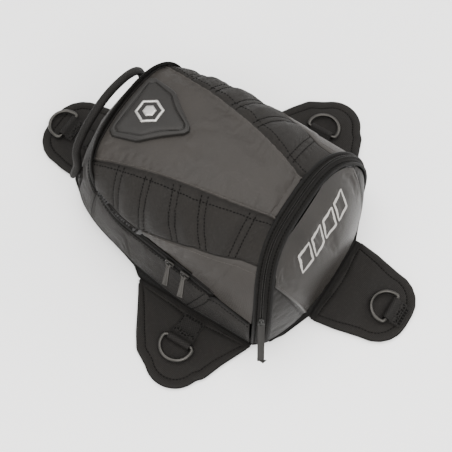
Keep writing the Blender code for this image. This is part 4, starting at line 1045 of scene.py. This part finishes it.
def make_print(sheet, heights):
    """A row of slanted reflective frames across the top of the pocket; it says nothing."""
    points, faces = [], []
    columns = sheet.points.shape[1]
    middle = int(np.searchsorted(heights, 0.0930))

    def place(x, up):
        i = middle
        total = 0.0
        step = 1 if up > 0 else -1
        line = sheet.points[:, columns // 2]
        while 0 < i < len(heights) - 1 and abs(total) < abs(up):
            total += np.linalg.norm(line[i + step] - line[i])
            i += step
        i -= step * clamp((abs(total) - abs(up)) / 0.0012)
        row = sheet.points[int(clamp(i, 0, len(heights) - 1)), :, 0]
        return sheet.at(i, float(np.interp(x, row, np.arange(columns))))

    for x, wide in ((-0.0330, 0.0190), (-0.0110, 0.0190), (0.0110, 0.0190), (0.0330, 0.0190)):
        corners = [(x + dx * wide + dy * 0.0070, dy * 0.0195, 0.0)
                   for dx, dy in ((-0.5, -0.5), (0.5, -0.5), (0.5, 0.5), (-0.5, 0.5))]
        dense = [(lerp(p[0], q[0], f), lerp(p[1], q[1], f), 0.0) for p, q in zip(corners, corners[1:] + corners[:1])
                 for f in spread(0.0, 1.0, 6)[:-1]]
        outer = rounded(dense, 1)
        centre = np.mean(outer, axis=0)
        inner = []
        for p in outer:
            away = centre - p
            inner.append(p + away * min(0.0027 / np.linalg.norm(away), 0.9))
        n, first = len(outer), len(points)
        for line, rise in ((outer, -0.0002), (inner, -0.0002), (outer, 0.00028), (inner, 0.00028)):
            for p in line:
                at, normal = place(p[0], p[1])
                points.append(at + normal * rise)
        for i in range(n):
            j = (i + 1) % n
            o = [first + m * n for m in range(4)]
            faces += [(o[2] + i, o[2] + j, o[3] + j, o[3] + i), (o[0] + j, o[0] + i, o[1] + i, o[1] + j),
                      (o[0] + i, o[0] + j, o[2] + j, o[2] + i), (o[1] + j, o[1] + i, o[3] + i, o[3] + j)]
    add_piece("reflective_frames", points, faces, [PRINT], "flap", smooth=False)


def make_divider():
    outline = []
    for q in spread(0.006, 0.994, 60):
        edge = outer_arch(q)
        outline.append((edge.x * 0.955, edge.y + 0.0030, lerp(FLOOR_T + 0.0020, edge.z, 0.965)))
    top = [(0.0, 0.0002), (0.0008, 0.0010), (0.0100, 0.0012), (0.0300, 0.0016), (0.0450, 0.0012), (0.0700, 0.0016)]
    bottom = [(0.0, 0.0014), (0.0100, 0.0014), (0.0450, 0.0014)]
    pad("pocket_divider_cloth", outline, [(d, -h) for d, h in top], bottom, (0, 1, 0), [LINING], "bag",
        (0.0, BAND_Y + 0.0060, 0.045), replaces=("pocket_divider",), slot="grey_lining")


# ---------------------------------------------------------------- wings, straps and rings
def corner_arc(centre, radius, start, end, count):
    turns = [math.radians(lerp(start, end, i / count)) for i in range(count + 1)]
    return [(centre[0] + radius * math.cos(a), centre[1] + radius * math.sin(a)) for a in turns]


def end_wing(reach, root_half, tip_half, radius):
    side = [(0.0006, root_half), (reach * 0.30, lerp(root_half, tip_half, 0.35))]
    side += corner_arc((reach - radius, tip_half - radius), radius, 90, 0, 5)
    return [(x, -y) for x, y in side] + side[::-1]


def side_wing(reach=0.0825):
    points = [(0.0006, -0.0630), (0.0080, -0.0590), (reach * 0.40, -0.0480), (reach * 0.66, -0.0405)]
    points += corner_arc((reach - 0.030, -0.006), 0.030, -75, 45, 8)
    return points + [(reach * 0.78, 0.0320), (reach * 0.59, 0.0430), (reach * 0.25, 0.0595), (0.0006, 0.0720)]


WINGS = (
    ("rear", 1, (0.0, 0.1591), False, 0.0500, 1, end_wing(0.0615, 0.0450, 0.0420, 0.0340)),
    ("front", 3, (0.0, -0.1341), False, 0.0555, -1, end_wing(0.0865, 0.0505, 0.0405, 0.0330)),
    ("left", 2, (-0.1061, RING_LINE_Y), True, 0.0465, 1, side_wing()),
    ("right", 0, (0.1061, RING_LINE_Y), False, 0.0465, 1, side_wing()),
)


def wing_frame(direction, root, mirror):
    c, s = ((1, 0), (0, 1), (-1, 0), (0, -1))[direction]
    flip = -1.0 if mirror else 1.0

    def place(x, y, z):
        return np.array((root[0] + c * x - s * y * flip, root[1] + s * x + c * y * flip, z))

    return place


def strap_places(ring_at, way):
    """How far out from the wing's seam the ring's bar is, and both ends of the webbing: sewn down and turned back."""
    bar = ring_at - way * BAR_OFFSET
    return bar, STRAP_START if way > 0 else ring_at + 0.0270, bar - way * (0.0023 + 0.0018 + 0.0080)


def strap_line(ring_at, way):
    """The middle of the webbing from the wing's seam, round the ring's bar and back under its box stitches."""
    bar, far, back = strap_places(ring_at, way)
    line = [(lerp(far, bar, f), 0.00535) for f in spread(0.0, 0.97, 18)]
    line += [(bar + way * 0.0032 * math.cos(math.radians(a)), 0.0085 + 0.0032 * math.sin(math.radians(a)))
             for a in range(-86, 140, 12)]
    return line + [(lerp(bar - way * 0.0046, back, f), 0.0074 + 0.0008 * (1 - f) ** 3) for f in spread(0.0, 1.0, 8)]


def bend_wire(name, points, radius, mats, body, closed, **more):
    """Bends a round wire through points with a Bezier curve and makes it a mesh."""
    bpy.ops.object.select_all(action="DESELECT")
    bpy.ops.curve.primitive_bezier_circle_add(location=(0, 0, 0))
    wire = bpy.context.object
    wire.name = name
    spline = wire.data.splines[0]
    spline.bezier_points.add(len(points) - len(spline.bezier_points))
    for item, p in zip(spline.bezier_points, points):
        item.co = tuple(p)
        item.handle_left_type = item.handle_right_type = "AUTO"
    spline.use_cyclic_u = closed
    spline.resolution_u = 6
    wire.data.dimensions = "3D"
    wire.data.bevel_depth = radius
    wire.data.bevel_resolution = 4
    wire.data.use_fill_caps = not closed
    bpy.ops.object.convert(target="MESH")
    for mat in mats:
        wire.data.materials.append(mat)
    return finish_hard(wire, body, **more)


def finish_hard(piece, body, replaces=(), slot=None, angle=35):
    """Applies the place, turns the faces outwards, smooths them and hangs the piece on its body."""
    bpy.ops.object.transform_apply(location=True, rotation=True, scale=True)
    bpy.ops.object.mode_set(mode="EDIT")
    bpy.ops.mesh.select_all(action="SELECT")
    bpy.ops.mesh.remove_doubles(threshold=0.000002)
    bpy.ops.mesh.normals_make_consistent(inside=False)
    bpy.ops.object.mode_set(mode="OBJECT")
    bpy.ops.object.shade_smooth_by_angle(angle=math.radians(angle))
    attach(piece, body)
    if replaces:
        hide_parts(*replaces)
    return piece


def make_wing(name, direction, root, mirror, ring_at, way, outline):
    place = wing_frame(direction, root, mirror)
    smooth = rounded(between(outline, lambda p, after: max(1, int(math.dist(p, after) / 0.0050))), 1)
    edge = [place(p[0], p[1], 0.0) for p in smooth]
    centre = place(0.42 * max(p[0] for p in outline), 0.0, 0.0)
    body = f"{name}_wing"
    phase = np.random.default_rng(11 + direction).uniform(0, 6.3, 3)

    def from_root(p):
        return np.dot(np.array(p) - place(0, 0, 0), place(1, 0, 0) - place(0, 0, 0))

    def settle(p):
        root_gap = from_root(p)
        if p[2] > 0.0028:
            p = (p[0], p[1], min(p[2], 0.0030 + 0.30 * max(root_gap - 0.0012, 0.0)))
        soft = 0.00025 * (math.sin(p[0] * 190 + phase[0]) + math.sin(p[1] * 230 + phase[1]))
        return (p[0], p[1], p[2] + (soft if p[2] > 0.0040 else 0.0))

    top = [(0.0, 0.0030), (0.0006, 0.0040), (0.0018, 0.0045), (0.0040, 0.0046), (0.0070, 0.0043), (0.0082, 0.0035),
           (0.0088, 0.0034), (0.0094, 0.0036), (0.0110, 0.0042), (0.0160, 0.0043), (0.0260, 0.0043), (0.0400, 0.0042)]
    bottom = [(0.0004, 0.0026), (0.0100, 0.0026), (0.0300, 0.0026)]
    cover = pad(f"{name}_wing_cloth", edge, top, bottom, (0, 0, 1), [WING_CLOTH], body, centre, settle,
                replaces=(f"{name}_wing_cover",), slot="black_nylon")
    under = [(0.0, 0.0022), (0.0010, 0.0026), (0.0300, 0.0026)]
    pad(f"{name}_wing_rubber", edge, under, [(0.0004, 0.0006), (0.0016, 0.0), (0.0300, 0.0)], (0, 0, 1), [RUBBER], body,
        centre, replaces=(f"{name}_wing_underside",), slot="anti_slip_rubber")
    ring = []
    for p in edge:
        away = p - centre
        away /= np.linalg.norm(away)
        ring.append((p + UP * 0.0024 - away * 0.0004, away))
    far_out = [from_root(p) > 0.0028 for p, _ in ring]
    first = next(k for k in range(len(ring)) if far_out[k] and not far_out[k - 1])
    turned = ring[first:] + ring[:first]
    bound = turned[:sum(far_out)]
    tube(f"{name}_wing_binding", bound, 0.0014, [BINDING], body, 8, squash=0.75)
    seam = []
    for p in edge:
        away = centre - p
        at = p + away * min(0.0085 / np.linalg.norm(away), 0.9)
        if from_root(at) > 0.0060:
            seam.append((at + UP * 0.0036, UP))
    groups, line = [], []
    for item in seam + seam[:1]:
        if line and np.linalg.norm(item[0] - line[-1][0]) > SEAM_BREAK:
            groups.append(line)
            line = []
        line.append(item)
    groups.append(line)
    stitches(f"{name}_wing_stitching", [g for g in groups if len(g) > 2], body)
    ends = sorted(p[1] for p in outline)
    seam = Sheet([[place(x, y, z) for x, z in ((-0.0012, 0.0039), (-0.0004, 0.0044), (0.0006, 0.0045),
                                               (0.0016, 0.0043), (0.0030, 0.0038))]
                  for y in np.linspace(ends[0] + 0.0010, ends[-1] - 0.0010, 40)])
    seam.face(3, 2, (0.0, 0.0, 1.0))
    seam.cut(f"{name}_root_seam", 0.0014, [BINDING], ("bag", body, tuple(place(-0.0010, 0.0, 0.0043)),
                                                      tuple(place(0.0020, 0.0, 0.0043))))
    refinish(f"{name}_wing_magnet", MAGNET)
    make_strap(name, place, ring_at, way, body)
    make_ring(name, place, ring_at, way)


def make_strap(name, place, ring_at, way, body):
    line = strap_line(ring_at, way)
    half = WEBBING_W / 2
    across = (-half, -half + 0.0005, -half * 0.66, -half * 0.33, 0.0, half * 0.33, half * 0.66, half - 0.0005, half)
    sheet = Sheet([[place(x, y, z) for y in across] for x, z in line])
    sheet.face(4, 4, (0.0, 0.0, -1.0))
    edge = np.array([0.0004] + [0.0009] * (len(across) - 2) + [0.0004])
    sheet.lift(np.repeat(edge[None, :], len(line), 0))
    sheet.cut(f"{name}_webbing", 0.0017, [WEBBING], body, replaces=(f"{name}_strap",), slot="black_webbing")
    bar, far, back = strap_places(ring_at, way)
    inner, low, top = half - 0.0018, 0.0064, 0.0084
    rows = [[(place(x, y, z), UP) for y in np.linspace(-inner, inner, 12)]
            for x, z in ((back + way * 0.0012, 0.00836), (bar - way * 0.0052, 0.0085),
                         (far + way * 0.0016, low), (far + way * 0.0030, low))]
    ends = (back + way * 0.0014, bar - way * 0.0054)
    for y in (-inner, inner):
        rows.append([(place(x, y, top), UP) for x in np.linspace(*ends, 6)])
        rows.append([(place(x, y, low), UP) for x in np.linspace(far + way * 0.0030, back - way * 0.0024, 20)])
    for a, b in ((-1, 1), (1, -1)):
        rows.append([(place(lerp(ends[0], ends[1], f), (half - 0.0020) * lerp(a, b, f), top), UP)
                     for f in spread(0.04, 0.96, 10)])
    stitches(f"{name}_box_stitches", rows, body)


def make_ring(name, place, ring_at, way):
    bar = ring_at - way * BAR_OFFSET
    middle = bar + way * (0.0210 - 0.0165 * 0.95)
    points = [(bar, y) for y in (-0.0135, -0.0070, 0.0, 0.0070, 0.0135)]
    points += [(bar + way * 0.0012, 0.0159), (bar + way * 0.0034, 0.0166)]
    arc = [(middle + way * 0.0157 * math.cos(math.radians(a)), 0.0165 * math.sin(math.radians(a)))
           for a in range(82, -83, -12)]
    points += arc + [(bar + way * 0.0034, -0.0166), (bar + way * 0.0012, -0.0159)]
    bend_wire(f"{name}_ring_wire", [place(x, y, 0.0085) for x, y in points], 0.0020, [GUNMETAL], f"{name}_ring", True,
              replaces=(f"{name}_ring",), slot="gunmetal")


# ---------------------------------------------------------------- the handle
def make_handle():
    keys = [(0.06579, 0.14016, 0.05499), (0.0600, 0.1350, 0.0740), (0.0550, 0.1365, 0.0960), (0.0410, 0.1370, 0.1090),
            (0.0200, 0.1370, 0.1175), (0.0, 0.1365, 0.1215)]
    keys = [(-x, y, z) for x, y, z in keys] + keys[-2::-1]
    line = [np.array(smooth_value(keys, t)) for t in spread(0.0, 1.0, 120)]
    centre = np.array((0.0, 0.1370, 0.0700))
    pairs = [(p, (p - centre) / np.linalg.norm(p - centre)) for p in line]
    radii = [0.0043 * min(1.0, 0.35 + 0.65 * math.sqrt(min(k, 120 - k) / 7)) for k in range(121)]
    cord = tube("handle_cover", pairs, radii, [WEBBING], "handle", 18, replaces=("grab_handle",), slot="black_webbing")
    seam = []
    for k in range(5, 116):
        p, n = pairs[k]
        way = line[min(k + 1, 120)] - line[k - 1]
        side = np.cross(way / np.linalg.norm(way), n)
        seam.append((p - side * radii[k] * 0.98, -side))
    stitches("handle_stitching", [seam], "handle")
    for name, side in SIDES:
        rows = []
        for k in spread(0.27, 0.60, 14):
            spots = [tub_surface(t, k) for t in spread(0.750, 0.800, 12)]
            rows.append([(p.x * side, p.y, p.z) for p in spots])
        patch = Sheet(rows)
        patch.face(5, 5, (0.0, 1.0, 0.0))
        r, c = patch.points.shape[:2]
        i = np.minimum(np.arange(r), r - 1 - np.arange(r))[:, None] / 3
        j = np.minimum(np.arange(c), c - 1 - np.arange(c))[None, :] / 3
        patch.lift(0.0019 + 0.0008 * np.minimum(1, np.minimum(i, j)))
        patch.cut(f"handle_patch_{name}", 0.0016, [WEBBING], "bag", replaces=(f"handle_anchor_{name}",),
                  slot="black_webbing")
        box = [[patch.at(1.2, j, ON_CLOTH) for j in np.linspace(1, c - 2, 10)],
               [patch.at(r - 2.2, j, ON_CLOTH) for j in np.linspace(1, c - 2, 10)],
               [patch.at(i, 1.2, ON_CLOTH) for i in np.linspace(1, r - 2, 16)],
               [patch.at(i, c - 2.2, ON_CLOTH) for i in np.linspace(1, r - 2, 16)],
               [patch.at(lerp(1, r - 2, f), lerp(1, c - 2, f), ON_CLOTH) for f in spread(0, 1, 14)],
               [patch.at(lerp(1, r - 2, f), lerp(c - 2, 1, f), ON_CLOTH) for f in spread(0, 1, 14)]]
        stitches(f"handle_patch_stitching_{name}", box, "bag")


# ---------------------------------------------------------------- zip sliders and pulls
def block(name, size):
    """A cube of a size, selected alone."""
    bpy.ops.object.select_all(action="DESELECT")
    bpy.ops.mesh.primitive_cube_add(size=1.0, location=(0, 0, 0))
    piece = bpy.context.object
    piece.name = name
    piece.scale = size
    bpy.ops.object.transform_apply(location=False, rotation=False, scale=True)
    return piece


def pick_faces(piece, wanted):
    """Selects the faces whose centre and normal pass a test, in edit mode."""
    bpy.ops.object.mode_set(mode="EDIT")
    bpy.ops.mesh.select_mode(type="FACE")
    bpy.ops.mesh.select_all(action="DESELECT")
    work = bmesh.from_edit_mesh(piece.data)
    for face in work.faces:
        face.select_set(bool(wanted(face.calc_center_median(), face.normal)))
    bmesh.update_edit_mesh(piece.data)


def soften(piece, width, segments=3):
    bpy.ops.object.mode_set(mode="OBJECT")
    bevel = piece.modifiers.new("edge", "BEVEL")
    bevel.width, bevel.segments, bevel.limit_method, bevel.angle_limit = width, segments, "ANGLE", math.radians(35)
    bpy.ops.object.modifier_apply(modifier=bevel.name)


def set_in(piece, across, along, out, place):
    turn = Matrix((across, along, out)).transposed().to_4x4()
    piece.matrix_world = Matrix.Translation(place) @ turn


def make_slider(name, place, along, out, down, length, splay, metal, pull_mat):
    along, out = Vector(along).normalized(), Vector(out).normalized()
    out = (out - along * out.dot(along)).normalized()
    across = along.cross(out)
    place = Vector(place)
    body = block(f"{name}_slider_body", (0.0070, 0.0100, 0.0022))
    pick_faces(body, lambda c, n: abs(n.y) > 0.9 and c.y > 0)
    bpy.ops.transform.resize(value=(0.62, 1.0, 1.0))
    pick_faces(body, lambda c, n: n.z > 0.9)
    bpy.ops.mesh.inset(thickness=0.0011)
    bpy.ops.mesh.extrude_region_move(TRANSFORM_OT_translate={"value": (0, 0, 0.0004)})
    bpy.ops.transform.resize(value=(0.45, 0.80, 1.0))
    soften(body, 0.0004)
    set_in(body, across, along, out, place + out * 0.0029)
    body.data.materials.append(metal)
    slot = "gunmetal" if metal is GUNMETAL else "black_metal"
    finish_hard(body, f"{name}_slider", (SLIDER_NODES[name],), slot)
    lift = place + out * 0.0041
    hoop = [lift + along * 0.0036 * math.cos(a) + out * 0.0024 * math.sin(a)
            for a in [math.radians(k) for k in range(-15, 196, 15)]]
    bend_wire(f"{name}_slider_hoop", hoop, 0.0006, [metal], f"{name}_slider", False)

    hinge = lift + out * 0.0008
    lean, turn = math.radians(45), math.radians(splay)
    way = ((down * math.cos(lean) + out * math.sin(lean)) * math.cos(turn) - along * math.sin(turn)).normalized()
    face = (out - way * out.dot(way)).normalized()
    side = way.cross(face)
    if name == "pocket":
        pull = block("pocket_pull_webbing", (PULL_W, length, 0.0022))
        pick_faces(pull, lambda c, n: n.y > 0.9)
        bpy.ops.mesh.extrude_region_move(TRANSFORM_OT_translate={"value": (0.0010, -0.0002, 0)})
        bpy.ops.transform.rotate(value=0.6, orient_axis="Z", center_override=(0.0, length / 2, 0.0))
        pick_faces(pull, lambda c, n: abs(n.z) > 0.9)
        bpy.ops.mesh.inset(thickness=0.0009, use_individual=True)
        bpy.ops.mesh.extrude_region_shrink_fatten(TRANSFORM_OT_shrink_fatten={"value": -0.0003})
    else:
        pull = block(f"{name}_pull_tab", (PULL_W, length, 0.0014))
        pick_faces(pull, lambda c, n: n.y < -0.9)
        bpy.ops.transform.resize(value=(0.66, 1.0, 1.0))
        pick_faces(pull, lambda c, n: abs(n.z) > 0.9)
        bpy.ops.mesh.inset(thickness=0.0012, use_individual=True)
        bpy.ops.mesh.extrude_region_shrink_fatten(TRANSFORM_OT_shrink_fatten={"value": -0.0004})
    soften(pull, 0.0005)
    set_in(pull, side, way, face, hinge + way * (length / 2 + 0.0014))
    pull.data.materials.append(pull_mat)
    finish_hard(pull, f"{name}_pull", (PULL_NODES[name],), slot)
    eye = [hinge - way * 0.0004 + side * 0.0021 * math.cos(a) + way * 0.0021 * (math.sin(a) + 1)
           for a in [math.radians(k) for k in range(0, 360, 30)]]
    bend_wire(f"{name}_pull_eye", eye, 0.0006, [metal], f"{name}_pull", True)


PULL_L, PULL_W = 0.0200, 0.0066
SLIDER_NODES = {"front": "front_main_slider", "rear": "rear_main_slider", "pocket": "pocket_slider"}
PULL_NODES = {"front": "front_main_pull", "rear": "rear_main_pull", "pocket": "pocket_pull"}


def make_sliders():
    along, out = Vector((0.09163, 0.98046, 0.1741)), Vector((-0.98888, 0.06903, 0.1317))
    down = Vector((0.0, 0.0, -1.0))
    down = down - out * down.dot(out)
    down = (down - along * down.dot(along)).normalized()
    make_slider("front", (-0.095, -0.0174, 0.0627), along, out, down, PULL_L, 25.0, GUNMETAL, GUNMETAL)
    make_slider("rear", (-0.0933, 0.00079, 0.06593), along, out, down, PULL_L, 25.0, GUNMETAL, GUNMETAL)
    along, out = Vector((0.23714, 0.12741, 0.96309)), Vector((-0.81396, -0.51511, 0.26856))
    make_slider("pocket", (-0.0983, -0.1035, 0.0633), along, out, -along, 0.0340, 0.0, BLACK_METAL, MOULDED)


# ---------------------------------------------------------------- everything together
set_the_stage()
make_lid()
make_emblem()
make_tub()
make_zip()
make_base()
make_band()
make_flap()
make_divider()
for wing in WINGS:
    make_wing(*wing)
make_handle()
make_sliders()
